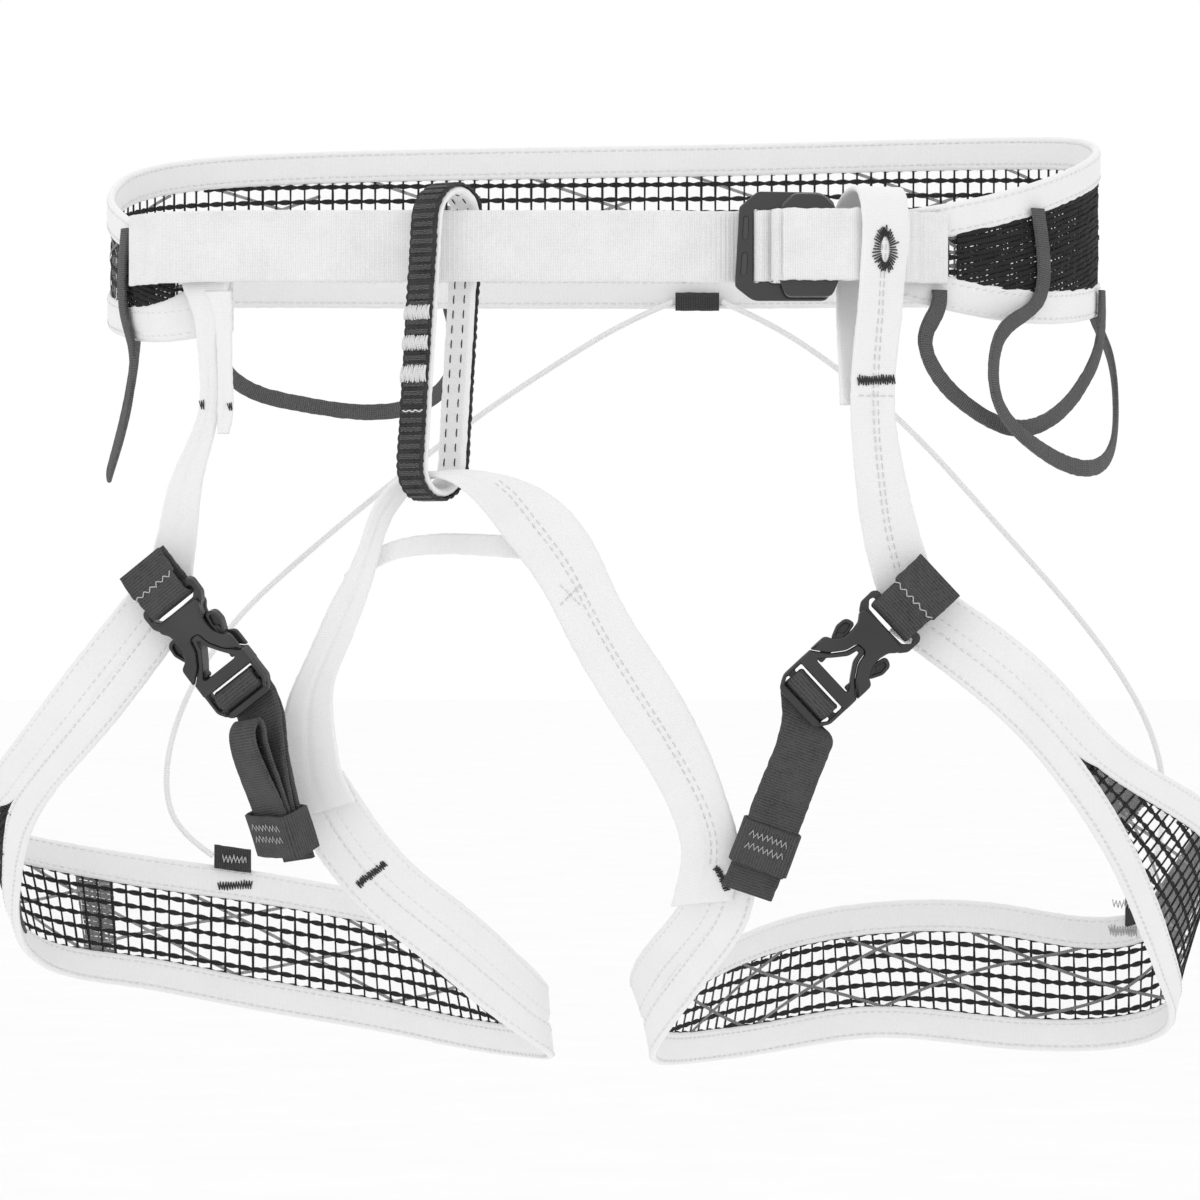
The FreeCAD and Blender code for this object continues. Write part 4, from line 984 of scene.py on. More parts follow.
TACK_THREADS = 30
tacks = []
for z_low, z_high in ((-34.8, -29.6), (-45.2, -40.2), (-56.4, -50.6)):
    rows = front_rows(z_low, z_high)
    first, last = sorted((cover_band.s[rows[0]], cover_band.s[rows[-1]]))
    for i in range(TACK_THREADS):
        near = 0.9 * noise.noise(Vector((i * 1.9, z_low, 1.0)))
        far = 0.9 * noise.noise(Vector((i * 2.3, z_low, 4.0)))
        where = np.linspace(first + near, last + far, 6)
        slant = np.linspace(-0.15, 0.15, 6) * (1 if i % 3 else -1)
        bulge = 1.15 + 0.55 * np.sin(np.linspace(0, np.pi, 6)) + 0.12 * (i % 2)
        tacks.append(cover_band.place(where, np.full(6, 0.5 + i * 0.38) + slant, bulge * out))
low_row = front_rows(-67.6, -66.2)[0]
tacks += frayed(cover_band, float(cover_band.s[low_row]), 0.8, 11.2, 1.3 * out, 1.5, 0.3)
on("leg_loops", threads("belay_loop_tacks", tacks, 0.24, "white_thread", 5))
# Painted highlight: threads of lighter grey laid along each ripple crest of the cover's front limb stand in
# for the light that catches the crests.
crests = []
for i in range(2, len(cover_band.s) - 2):
    crest = ripple[i] > ripple[i - 1] and ripple[i] >= ripple[i + 1]
    if crest and (cover_band.a[i] - BELAY_MIDDLE) @ BELAY_AXIS < 5:
        highlight_reach = noise.noise(Vector((i * 0.37, 1.0, 2.0)))
        for shift in (-0.5, 0.05, 0.6):
            u = np.linspace(0.9 + 1.5 * abs(highlight_reach), 10.8 - 2.0 * abs(highlight_reach), 9)
            shape = cover_band.s[i] + shift + 0.25 * np.sin(u * 2.4 + i)
            crests.append(cover_band.place(shape, u, np.full(9, (0.42 + 0.75 * RIPPLE) * out)))
on("leg_loops", threads("belay_loop_crest_highlights", crests, 0.13, "crest_highlight_thread", 5))
inner_lines = []
for u in (3.6, 8.4):
    inner_lines += stitch_row(core_band, 10, core_band.length - 10, u, -1.35 * out, 5.2, 3.1)
on("leg_loops", threads("belay_loop_stitches", inner_lines, 0.26, "dark_thread", 5))

# ---------------------------------------------------------------- risers and crosspiece

WIDE = 21.0
SOFT_THICK = 2.0
right_stations = [
    ((91.5, -91.2, -64), (0.9, 0.34, 0), 17), ((91.4, -88.5, -50), (0.93, 0.32, 0), 17.5),
    ((91.6, -83, -36), (0.95, 0.3, 0), 18.5), ((91.8, -80, -22), (0.95, 0.3, 0), 19),
    ((91.8, -80, -6), (0.95, 0.3, 0), 19.5), ((91.8, -82, 5), (0.93, 0.36, 0), 20),
    ((95, -87, 10.5), (0.87, 0.48, 0), WIDE), ((97.6, -94, 10.5), (0.82, 0.56, 0), WIDE),
    ((99, -98, 4), (0.8, 0.6, 0), WIDE), ((99.3, -98.6, -6), (0.8, 0.6, 0), WIDE),
    ((98.3, -98.3, -18), (0.8, 0.6, 0), 20), ((97, -97, -34), (0.84, 0.5, 0), 18.5),
    ((95.4, -95.2, -50), (0.9, 0.38, 0), 17), ((95, -93.6, -66), (0.95, 0.3, 0.05), 16.5),
    ((98, -88.5, -90), (0.98, 0.15, 0.1), 18), ((101.5, -85.8, -108), (0.97, 0, 0.2), 19.5),
    ((108, -85.6, -130), (0.93, 0, 0.36), WIDE),
]
riser_band = Band(pairs_of(right_stations), 0.7, wobble=0.15)
riser_right = strap("riser_right_strap", riser_band, SOFT_THICK, "white_webbing", ragged=0.2, seam=0.5,
                    columns=16)
HANG_START = (0, -91, -25)
HANG_END = (0, -91, -110)
bend("root", "leg_loops", HANG_START, HANG_END, riser_right, stands_for=["riser_right"])
FACING_RISER = -np.sign(riser_band.normal[-20][1])

LIE = (0.92, -0.38, 0)
left_stations = [((-138, -82.4, 2), LIE, WIDE), ((-138, -82.4, -12), LIE, WIDE),
                 ((-138, -83.2, -22), LIE, 18), ((-137.3, -83.8, -30), (0.93, -0.3, 0), 12.5),
                 ((-137.4, -84.2, -38), (0.95, -0.2, 0), 8.5), ((-136.6, -84.6, -54), (0.95, -0.1, 0), 7),
                 ((-137, -85, -66), (0.95, 0, 0.1), 7.5), ((-140.5, -85.3, -78), (0.95, 0, 0.15), 10),
                 ((-144.6, -85.6, -90), (0.95, 0, 0.2), 12.5), ((-147.5, -86, -106), (0.93, 0, 0.28), 15),
                 ((-152, -85.7, -128), (0.9, 0, 0.4), WIDE)]
left_band = Band(pairs_of(left_stations), 0.7, wobble=0.15)
riser_left = strap("riser_left_strap", left_band, SOFT_THICK, "white_webbing", ragged=0.2, seam=0.4,
                   columns=16)
bend("root", "leg_loops", HANG_START, HANG_END, riser_left, stands_for=["riser_left"])
tail_stations = [((-133.4, -86.4, -24), LIE, 10), ((-131.8, -86.6, -32), (0.95, -0.3, 0), 7),
                 ((-131.3, -87, -42), (0.95, -0.1, 0), 5.6), ((-130.9, -87.3, -56), (0.95, 0, 0), 5.4),
                 ((-131, -87.6, -68), (0.95, 0, 0), 5.4), ((-131.6, -87.7, -74), (0.95, 0, 0), 4)]
left_tail_band = Band(pairs_of(tail_stations), 0.6, wobble=0.1)
riser_left_tail = strap("riser_left_tail_strap", left_tail_band, WEB_THICK, "white_webbing", ragged=0.25,
                        seam=0.3)
bend("root", "leg_loops", HANG_START, HANG_END, riser_left_tail, stands_for=["riser_left_tail"])

FULL = 24.0
cross_stations = [
    ((-97.5, -72.8, -206), (1, 0, 0.3), FULL), ((-101.5, -77, -194), (1, 0, 0.2), 22),
    ((-102.5, -78.8, -182), (1, 0, 0.1), 20), ((-101.5, -79.5, -165), (0.95, 0, 0.2), 16.5),
    ((-95.5, -80.5, -150), (0.93, 0, 0.1), 14), ((-89.5, -81.2, -136), (0.9, 0, -0.3), 11.5),
    ((-83, -82, -121), (0.88, 0.2, -0.36), 9), ((-79.5, -82.3, -110), (0.85, 0.4, -0.3), 8),
    ((-76, -82.5, -101), (0.75, 0.55, -0.4), 9), ((-67.5, -84.5, -91), (0.64, 0.74, -0.2), 10.5),
    ((-59, -91, -88), (0.62, 0.78, 0), 11), ((-50, -95.6, -88.5), (0.6, 0.78, 0.2), 12.5),
    ((-38, -93.5, -93), (0.66, 0.55, 0.5), 17), ((-26, -89, -102), (0.74, 0.1, 0.62), 22),
    ((-12, -85.5, -119), (0.77, 0, 0.6), FULL),
    ((-2.5, -82.5, -138), (0.78, 0, 0.58), 23), ((14, -80.5, -165), (0.85, 0, 0.5), FULL),
    ((28.5, -78.6, -190), (0.95, 0, 0.3), 22), ((37, -76.2, -211), (0.97, -0.02, 0.2), 20),
    ((38.6, -74.2, -217.5), (0.97, -0.05, 0.18), 20.5), ((38, -69, -229), (0.97, -0.1, 0.15), 21.5),
    ((36, -64, -239), (0.97, -0.1, 0.1), 22),
]
cross_band = Band(pairs_of(cross_stations), 0.7, wobble=0.2)
crosspiece = strap("crosspiece_webbing", cross_band, SOFT_THICK, "white_webbing", ragged=0.2, seam=0.55,
                   columns=18)
on("leg_loops", crosspiece, stands_for=["crosspiece_strap"])
FACING_CROSS = -np.sign(cross_band.normal[-20][1])
link_stations = [((-89, -78.2, -126), (-0.3, 0, 0.95), 6), ((-80, -76.8, -118), (-0.4, 0, 0.9), 6.5),
                 ((-65, -78, -113), (0, 0, 1), 7), ((-45, -80.5, -112.5), (0, 0, 1), 7.5),
                 ((-28, -82.5, -113.5), (0, 0, 1), 8), ((-17, -82.7, -114), (0.1, 0, 1), 8)]
link_band = Band(pairs_of(link_stations), 0.3, wobble=0.1)
cross_link = strap("cross_link_strap", link_band, 1.5, "white_webbing", ribs=(2.2, 0.25), ragged=0.2)
on("leg_loops", cross_link, stands_for=["cross_link"])

# ---------------------------------------------------------------- leg loops

# Points of the upper and the lower edge of each leg loop, from its buckle round the back to the crosspiece.
LEG_EDGES = {
    "left": [
        ((-164.5, -82.4, -128.5), (-148, -82.4, -146)), ((-191, -72, -161), (-173, -74, -178)),
        ((-209, -52, -183), (-191, -56, -197)), ((-222, -26, -197), (-204, -34, -215)),
        ((-230, 6, -206), (-212, -3, -238)), ((-229, 38, -215), (-214, 33, -261)),
        ((-213, 62, -221), (-203, 60, -273)), ((-178, 76, -228), (-176, 75, -279)),
        ((-130, 79, -235), (-130, 79, -288)), ((-88, 71, -242), (-85, 71, -295)),
        ((-61, 51, -247), (-52, 52, -300)), ((-41, 27, -255), (-31, 26, -301)),
        ((-26, 4, -266), (-19, 2, -300)), ((-20, -15, -271), (-20, -18, -296)),
        ((-29, -31, -260), (-39, -37, -281)), ((-47, -46, -242), (-62, -50, -261)),
        ((-67, -57, -225), (-85, -59, -241)), ((-81, -66, -207), (-103, -67, -217)),
        ((-90, -73.5, -192.5), (-114, -73.5, -194)),
    ],
    "right": [
        ((118, -82.2, -126), (101, -82.2, -143)), ((160, -75, -158), (143, -77, -176)),
        ((181, -58, -180), (162, -64, -197)), ((205, -32, -196), (181, -43, -224)),
        ((226, -2, -209), (196, -12, -252)), ((232, 28, -223), (208, 19, -277)),
        ((221, 54, -240), (212, 46, -293)), ((198, 69, -251), (198, 67, -301)),
        ((151, 77, -247), (151, 76, -302)), ((97, 72, -247), (102, 73, -298)),
        ((67, 52, -252), (62, 51, -302)), ((46, 28, -259), (38, 26, -303)),
        ((28, 5, -267), (23, 2, -302)), ((13, -14, -271), (20, -17, -296)),
        ((13, -29, -262), (31, -34, -279)), ((21, -45, -250), (42, -49, -263)),
        ((29, -57, -238), (52, -60, -247)), ((33, -69.5, -216), (56, -71, -218)),
    ],
}
# Rows of the routes above where the tab and the open mesh lie, and where the mesh is doubled.
TAB_ROW = {"left": 8, "right": 7}
TAB_DEPTH = {"left": 1, "right": 5}
MESH_SEED = {"left": 7.0, "right": 11.0}
MESH_ROWS = (2, 13)
DOUBLED = {"left": ((2, 7, 4, 0), (6, 16, 6, 30)), "right": ((2, 7, 3, 0),)}


def half_of(w):
    return np.minimum(BINDING, (w - SEAM) / 2)


def inside_of(band):
    """1 if the band's normal points to the middle of its ring."""
    middle = band.a.mean(axis=0)
    i = len(band.a) // 2
    return 1 if float(band.normal[i] @ (middle - band.a[i])) > 0 else -1


def leg_bindings(side, band):
    """Both halves of the split strap; where the leg loop is narrow the upper one laps over the lower one."""
    dips = ((1.8, *DIP), (10.2, *DIP))
    top = strap(f"leg_binding_top_{side}_tape", band, TAPE_THICK, "white_binding", near_edge(0),
                lambda w: half_of(w) + 3 * np.clip((2 * BINDING + 3 - w) / 3, 0, 1),
                ragged=0.14, dips=dips, puff=0.06)
    bottom = strap(f"leg_binding_bottom_{side}_tape", band, 2.6, "white_binding", lambda w: w - half_of(w),
                   lambda w: w, ragged=0.14, dips=dips, puff=0.1)
    on("leg_loops", top, stands_for=[f"leg_binding_top_{side}"])
    on("leg_loops", bottom, stands_for=[f"leg_binding_bottom_{side}"])
    lines = []
    for i in range(int((band.length - 8) / STITCH)):
        s = 4 + i * STITCH
        w = float(np.interp(s, band.s, band.width))
        half = float(half_of(np.array([w]))[0])
        where = np.array([s, s + 1.0, s + 2.0])
        for v in (LEG_SEAM_V, -LEG_SEAM_V):
            for u in (1.8, half - 2.0, w - 1.8, w - half + 2.0):
                lines.append(band.place(where, np.full(3, u), v + THIN_STITCH * np.sign(v)))
    on("leg_loops", threads(f"leg_binding_stitches_{side}", lines, 0.2, "white_thread", 5))


def leg_loop(side):
    band = Band(LEG_EDGES[side], 0.9, wobble=0.3)
    leg_bindings(side, band)
    stops = band.stops
    first, last = MESH_ROWS
    mesh_panel(f"leg_mesh_{side}", band.cut(stops[first] + 6, stops[last] - 8), lambda w: half_of(w) - 1.2,
               lambda w: w - half_of(w) + 1.2, f"leg_mesh_{side}", "leg_loops", seed=MESH_SEED[side],
               dense=[(stops[a] + b, stops[c] + d) for a, b, c, d in DOUBLED[side]])
    inner = inside_of(band)
    tab = stops[TAB_ROW[side]]
    before = stops[TAB_ROW[side] - 1]
    fork = stops[1] + (stops[2] - stops[1]) / 3
    sewn = {
        "fork_patch": ("cloth", fork, stops[3] + 1, 1.1, "grey_webbing", near_edge(4), far_edge(4), 0.6, 0.3),
        "cross_strap": ("tape", stops[4], stops[5], 1.1, "grey_webbing", near_edge(4), far_edge(4), 0.6, 0.2),
        "elastic_tab": ("tape", tab - (tab - before) / 3, tab, 1.9, "dark_webbing", near_edge(-8),
                        near_edge(TAB_DEPTH[side]), 1.0, 0.2),
    }
    for label, (kind, low, high, thick, finish, start, end, off, ragged) in sewn.items():
        made = strap(f"leg_{label}_{side}_{kind}", band.cut(low, high), thick, finish, start, end,
                     lift=(BINDING_THICK / 2 + GAP + off) * inner, ragged=ragged)
        on("leg_loops", made, stands_for=[f"leg_{label}_{side}"])
    return band


leg_bands = {side: leg_loop(side) for side in ("left", "right")}

# ---------------------------------------------------------------- leg buckles

# The bar that the anchor webbing holds, the buckle's direction, the side that faces out, the anchor's length.
CLIPS = {
    "left": {"bar": (-150, -95.4, -131), "along": (0.611, 0, -0.791), "front": (-0.334, -0.906, -0.258),
             "anchor": 15.5},
    "right": {"bar": (103.2, -91.6, -137.6), "along": (-0.73, 0, -0.68), "front": (0, -1, 0), "anchor": 21.0},
}
# Distances along a buckle from its bar.
SHELL = 29.5
LADDER_START = 35.4
SLOT = 3.4
RUNG = 2.6
LADDER_END = LADDER_START + 2 * (SLOT + RUNG)
CORNER = math.sqrt(0.5)
STRAP_WIDTH = 20.0


def clip_matrix(side):
    along = Vector(CLIPS[side]["along"]).normalized()
    across = Vector(CLIPS[side]["front"]).cross(along).normalized()
    matrix = Matrix((along, across, along.cross(across))).transposed().to_4x4()
    return Matrix.Translation(CLIPS[side]["bar"]) @ matrix


def in_clip(side, along, across, front):
    return np.array(clip_matrix(side) @ Vector((along, across, front)))


def mirrored(points):
    """An outline's upper half, followed by its mirror image below."""
    return points + [(x, -y, r) for x, y, r in reversed(points)]


def beside(points, sign):
    """An outline on one side of the middle line, always counter-clockwise."""
    return [(x, sign * y, r) for x, y, r in (points if sign < 0 else points[::-1])]


# Outlines in the buckle's plane: distance from the bar, distance from the middle line, corner radius.
FEMALE = {
    "hook": mirrored([(-1.5, 11.0, 2.0), (0.2, 12.2, 2.0), (5.6, 12.1, 3.0), (8.1, 10.2, 3.6),
                      (9.5, 8.0, 3.4), (13.0, 6.6, 3.4), (13.0, 2.0, 0)]),
    "slot": mirrored([(1.3, 10.2, 1.0), (3.0, 10.6, 1.0), (5.2, 8.4, 1.6), (5.4, 3.0, 4)]),
    "shell": mirrored([(5.8, 4.0, 2), (6.3, 9.6, 2.4), (8.7, 9.6, 2.4), (10.9, 7.6, 3.4), (14.2, 6.9, 4),
                       (18.5, 7.2, 4), (21.4, 9.0, 2.4), (22.9, 11.9, 2.4), (25.6, 12.0, 3),
                       (SHELL, 12.0, 0.6), (29.4, 11.3, 0.4), (25.6, 6.5, 6.5), (20.9, 3.2, 6.5),
                       (16.2, 2.2, 2.2)]),
}
MALE = {
    "tongue": mirrored([(16.1, 1.8, 1.4), (20.9, 2.8, 6.5), (25.6, 6.1, 6.5), (29.4, 10.9, 0.5),
                        (29.9, 11.9, 0.8), (35.5, 12.0, 1.0)]),
    "window": mirrored([(18.3, 0.5, 0.5), (21.7, 1.2, 5), (26.0, 4.4, 6.5), (30.2, 7.9, 1.0),
                        (30.8, 7.0, 0.8)]),
    "rim": mirrored([(33.2, 12.0, 0.5), (42.6, 12.0, 4.6), (LADDER_END, 9.0, 3.6), (LADDER_END, 4.0, 0)]),
    "rail": [(34.6, 11.9, 0.5), (34.6, 10.7, 0.5), (42.2, 10.7, 2), (44.9, 8.9, 0.6), (45.6, 9.7, 1.0),
             (42.6, 11.9, 3.6)],
    "prong": [(17.0, 7.0, 1), (30.3, 5.6, 1), (30.3, 8.8, 1), (18.6, 9.6, 1)],
    "pad": [(12.0, 7.8, 2.2), (13.2, 11.6, 2.6), (17.4, 11.9, 3.4), (21.6, 10.0, 2.2), (22.6, 7.6, 1.7),
            (17.0, 6.9, 2.6)],
    "hollow": [(13.6, 8.6, 1.2), (14.5, 10.5, 1.2), (17.3, 10.8, 1.7), (20.4, 9.3, 1.1), (20.7, 8.1, 0.9),
               (17.0, 7.9, 1.7)],
}


def make_buckle(side):
    """Female half on the leg loop and male half on its own body, each as plates stacked in depth."""
    def part(label, outlines, low, high, edge):
        outlines = [rounded(outline) for outline in outlines]
        return plate(tag + label, outlines, low, high, edge, "dark_plastic", place)

    place = clip_matrix(side)
    tag = f"leg_buckle_female_{side}_"
    female = [part("bar", [FEMALE["hook"], FEMALE["slot"]], -1.9, 1.9, 0.6),
              part("front", [FEMALE["shell"]], 1.9, 3.9, 0.7),
              part("back", [FEMALE["shell"]], -3.9, -1.9, 0.7)]
    on("leg_loops", *female, stands_for=[f"leg_buckle_female_{side}"])

    tag = f"leg_buckle_male_{side}_"
    slots = [mirrored([(start + 0.1, 10.4, 0.7), (start + SLOT - 0.1, 10.4, 0.7)])
             for start in (LADDER_START, LADDER_START + SLOT + RUNG)]
    male = [part("tongue", [MALE["tongue"], MALE["window"]], -3.3, 3.3, 0.8),
            part("ladder", [MALE["rim"]] + slots, -1.3, 1.3, 0.5)]
    for sign, label in ((-1, "upper"), (1, "lower")):
        rail, prong, pad, hollow = (beside(MALE[key], sign) for key in ("rail", "prong", "pad", "hollow"))
        male += [part(f"rail_{label}", [rail], -2.8, 2.8, 0.55),
                 part(f"prong_{label}", [prong], -1.6, 1.6, 0.4),
                 part(f"pad_{label}", [pad, hollow], -1.8, 1.8, 0.35),
                 part(f"pad_floor_{label}", [hollow], -0.9, 0.5, 0.1)]
    on(f"leg_buckle_{side}", *male, stands_for=[f"leg_buckle_male_{side}"])


for side in CLIPS:
    make_buckle(side)


def clip_pairs(side, path, width):
    half = width / 2
    return [(in_clip(side, x, -half, z), in_clip(side, x, half, z)) for x, z in path]


def make_anchor(side):
    radius = 2.6 * CORNER + GAP + THIN / 2
    length = CLIPS[side]["anchor"]
    path = [(-length, -radius), (-length / 2, -radius), (0, -radius)]
    path += [(radius * math.sin(t), -radius * math.cos(t)) for t in np.radians((30, 60, 90, 120, 150))]
    path += [(0, radius), (-length / 2, radius), (-length, radius - 0.8)]
    band = Band(clip_pairs(side, path, STRAP_WIDTH), 0.4, wobble=0.12)
    row = band.length - length * 0.62
    taper = np.clip((band.s - row + 0.3) / 1.0, 0, 1)
    loop = strap(f"leg_anchor_webbing_{side}_strap", band, WEB_THICK, "streak_webbing", lambda w: 1.0 - taper,
                 lambda w: w - 1.0 + taper, ragged=0.3)
    on("leg_loops", loop, stands_for=[f"leg_anchor_webbing_{side}"])
    outward = in_clip(side, 0, 0, 1) - in_clip(side, 0, 0, 0)
    v = 1.0 * (1 if float(band.normal[-1] @ outward) > 0 else -1)
    on("leg_loops", threads(f"leg_anchor_stitches_{side}", frayed(band, row, 0.6, STRAP_WIDTH - 0.6, v), 0.24,
                            "grey_thread", 5))


WEB_WIDTH = 18.6
SIDEWAYS = (0.6, -0.78, 0.12)
TURNED = (0.5, -0.85, 0.1)
HALF_TURNED = (0.54, -0.83, 0.1)
LEANING = (0.95, 0, -0.32)


def same_way(across, *points):
    """Stations of a strap whose cross direction stays the same."""
    return [(point, across) for point in points]


# Stations run away from the buckle; the layers in front and behind are held together by the keeper.
STRAP_ROUTES = {
    "left": {
        "behind": [((-117.4, -90.8, -174), (0.8, -0.5, 0.35)), ((-116.2, -91, -184), (0.8, -0.55, 0.25)),
                   ((-112.8, -88.2, -198), (0.7, -0.68, 0.15)),
                   *same_way(SIDEWAYS, (-108.6, -84.3, -212), (-105.4, -81.4, -223))],
        "front": [((-118.4, -92.8, -174), (0.8, -0.5, 0.35)), ((-117.2, -93, -184), (0.8, -0.55, 0.25)),
                  ((-114.4, -89.7, -198), (0.7, -0.68, 0.15)),
                  *same_way(SIDEWAYS, (-110.6, -86, -211), (-109, -84.4, -217), (-109, -84.5, -219.3),
                            (-109.9, -85.2, -219.9), (-110.5, -85.7, -218), (-112.2, -87.2, -211),
                            (-116.1, -91.1, -198)),
                  ((-119.3, -95.8, -186), HALF_TURNED),
                  *same_way(TURNED, (-120.3, -98.2, -180), (-120.8, -99.2, -176.6), (-122.2, -100.1, -174.4),
                            (-123.6, -101, -176.2), (-124, -101.2, -180.5)),
                  ((-121.8, -98, -189), HALF_TURNED), ((-118, -92.8, -199), (0.58, -0.8, 0.1)),
                  *same_way(SIDEWAYS, (-115.4, -90, -206), (-113.6, -88.3, -212.5), (-111.9, -86.5, -219))],
        "keeper": (-111.1, -86.3, -212.6),
        "layers": 4,
        "play": 2.2,
    },
    "right": {
        "behind": [((72, -86.4, -174), (0.88, 0, -0.47)), ((70.6, -86, -184), (0.94, 0, -0.33)),
                   *same_way(LEANING, (64.4, -83.2, -200), (60, -81, -212), (55.6, -78, -225),
                             (51.5, -75.6, -235))],
        "front": [((71.7, -88.7, -174), (0.88, 0, -0.47)), ((70.8, -88.3, -184), (0.94, 0, -0.33)),
                  *same_way(LEANING, (64.7, -85.6, -200), (60.3, -83.4, -212), (57, -81.2, -221.5),
                            (55.3, -80, -227))],
        "keeper": (57.9, -80.8, -218.6),
        "layers": 2,
        "play": 0.5,
    },
}


def make_adjuster(side):
    """Strap that comes up behind the ladder, over its middle rung, and down again behind the end rung."""
    route = STRAP_ROUTES[side]
    half = WEB_WIDTH / 2

    def rows_of(stations):
        rows = []
        for point, across in stations:
            step = unit(np.array(across, float)) * half
            rows.append((np.array(point) - step, np.array(point) + step))
        return rows

    over = [(44.0, -4.9), (40.4, -4.6), (38.0, -3.0), (37.1, -0.4), (37.9, 1.9), (40.1, 2.6), (42.3, 1.9),
            (43.1, -0.2), (43.9, -1.9), (45.4, -2.7)]
    ladder = clip_pairs(side, over, WEB_WIDTH)
    if (ladder[0][1] - ladder[0][0])[0] < 0:
        ladder = [(b, a) for a, b in ladder]
    pairs = list(reversed(rows_of(route["behind"]))) + ladder + rows_of(route["front"])
    band = Band(pairs, 0.4, wobble=0.1)
    made = strap(f"leg_adjuster_strap_{side}_webbing", band, WEB_THICK, "streak_webbing", ragged=0.25,
                 selvedge=0.15, columns=16)
    start = in_clip(side, LADDER_END + 34, 0, 0)
    end = in_clip(side, LADDER_END + 2, 0, 0)
    bend("leg_loops", f"leg_buckle_{side}", start, end, made, stands_for=[f"leg_adjuster_strap_{side}"])


SLEEVE_HEIGHT = 16.0
SLEEVE_WALL = 1.2
LAYER_STEP = 2.1


def sleeve_ring(wide, deep):
    """Closed outline of a keeper, with round corners and a point every half millimetre."""
    corners = rounded([(-wide / 2, -deep / 2, 1.9), (wide / 2, -deep / 2, 1.9), (wide / 2, deep / 2, 1.9),
                       (-wide / 2, deep / 2, 1.9)], 8)
    ring = []
    for (x, y), (nx, ny) in zip(corners, corners[1:] + corners[:1]):
        steps = max(1, int(math.hypot(nx - x, ny - y) / 0.5))
        ring += [(x + (nx - x) * k / steps, y + (ny - y) * k / steps) for k in range(steps)]
    return np.array(ring)


def make_keeper(side):
    """Flat sewn sleeve with rounded edges round the layers of the adjuster strap."""
    route = STRAP_ROUTES[side]
    behind = route["behind"]
    centre = np.array(route["keeper"], float)
    axis = unit(np.array(behind[3][0], float) - np.array(behind[2][0], float))
    depth = unit(np.cross(axis, np.array(behind[3][1], float)))
    across = unit(np.cross(depth, axis))
    wide = WEB_WIDTH + route["play"] + SLEEVE_WALL
    deep = (route["layers"] - 1) * LAYER_STEP + THIN + route["play"] + SLEEVE_WALL
    ring = sleeve_ring(wide, deep)
    ahead = np.roll(ring, -1, axis=0) - np.roll(ring, 1, axis=0)
    out = unit(np.stack([ahead[:, 1], -ahead[:, 0]], axis=-1))
    profile = [(SLEEVE_HEIGHT * (t - 0.5), SLEEVE_WALL / 2) for t in np.linspace(0.02, 0.98, 34)]
    section = [(-SLEEVE_HEIGHT / 2, 0.0)] + profile + [(SLEEVE_HEIGHT / 2, 0.0)]
    section += [(z, -h) for z, h in reversed(profile)]
    wall = centre + ring[:, :1] * across + ring[:, 1:] * depth
    rows = []
    for z, h in section:
        bow = 0.45 * noise_at(wall + axis * z, 9.0, 4.0)
        hem = 0.25 * noise_at(wall, 3.0, 8.0) * abs(2 * z / SLEEVE_HEIGHT) ** 8
        flat = ring + out * (h + 0.35 * bow)[:, None]
        rows.append(centre + flat[:, :1] * across + flat[:, 1:] * depth + axis * (z + hem)[:, None])
    points = np.stack(rows, axis=1)
    n, k = points.shape[:2]
    heights = np.array([z for z, h in section])
    lay = np.stack([np.repeat(heights[None], n, 0), np.repeat(distances(ring)[:, None], k, 1),
                    np.zeros((n, k))], axis=-1)
    made = mesh_object(f"leg_keeper_{side}_sleeve", points.reshape(-1, 3), tube_faces(n, k, closed=True),
                       "streak_webbing", lay.reshape(-1, 3))
    facing_out = depth if depth[1] < 0 else -depth
    seam = centre + facing_out * (deep / 2 + SLEEVE_WALL / 2 + 0.22)
    lines = []
    for z in (-SLEEVE_HEIGHT / 2 + 4.2, 0.6):
        for i in range(16):
            x = (i + 0.5) / 16 * 2 - 1
            tilt = 0.9 * noise.noise(Vector((i * 1.7, z, 3.0)))
            middle = seam + across * (x * (wide / 2 - 3.2)) + axis * (z + tilt)
            slant = across * 0.5 * (1 if i % 2 else -1) + axis * 1.1
            lines.append(np.stack([middle + slant * t for t in (-1, 0, 1)]))
    stitches = threads(f"leg_keeper_stitches_{side}", lines, 0.15, "grey_thread", 5)
    on(f"keeper_{side}", made, stitches, stands_for=[f"leg_keeper_{side}"])


for side in CLIPS:
    make_anchor(side)
    make_adjuster(side)
    make_keeper(side)

# ---------------------------------------------------------------- bartacks and seams

RISER_V = 1.15
SEAM_THREAD = 0.16
TACK_THREAD = 0.26


def hang(name, lines, radius, finish):
    """Threads sewn to a riser, whose placement is baked like the riser's."""
    bend("root", "leg_loops", HANG_START, HANG_END, threads(name, lines, radius, finish, 5))


def short_run(starts, turn):
    """Stitches of 1.6 mm on a line through the middle, turned by some degrees."""
    c, d = math.cos(math.radians(turn)), math.sin(math.radians(turn))
    return [[(t * c, t * d) for t in (a, a + 0.8, a + 1.6)] for a in starts]


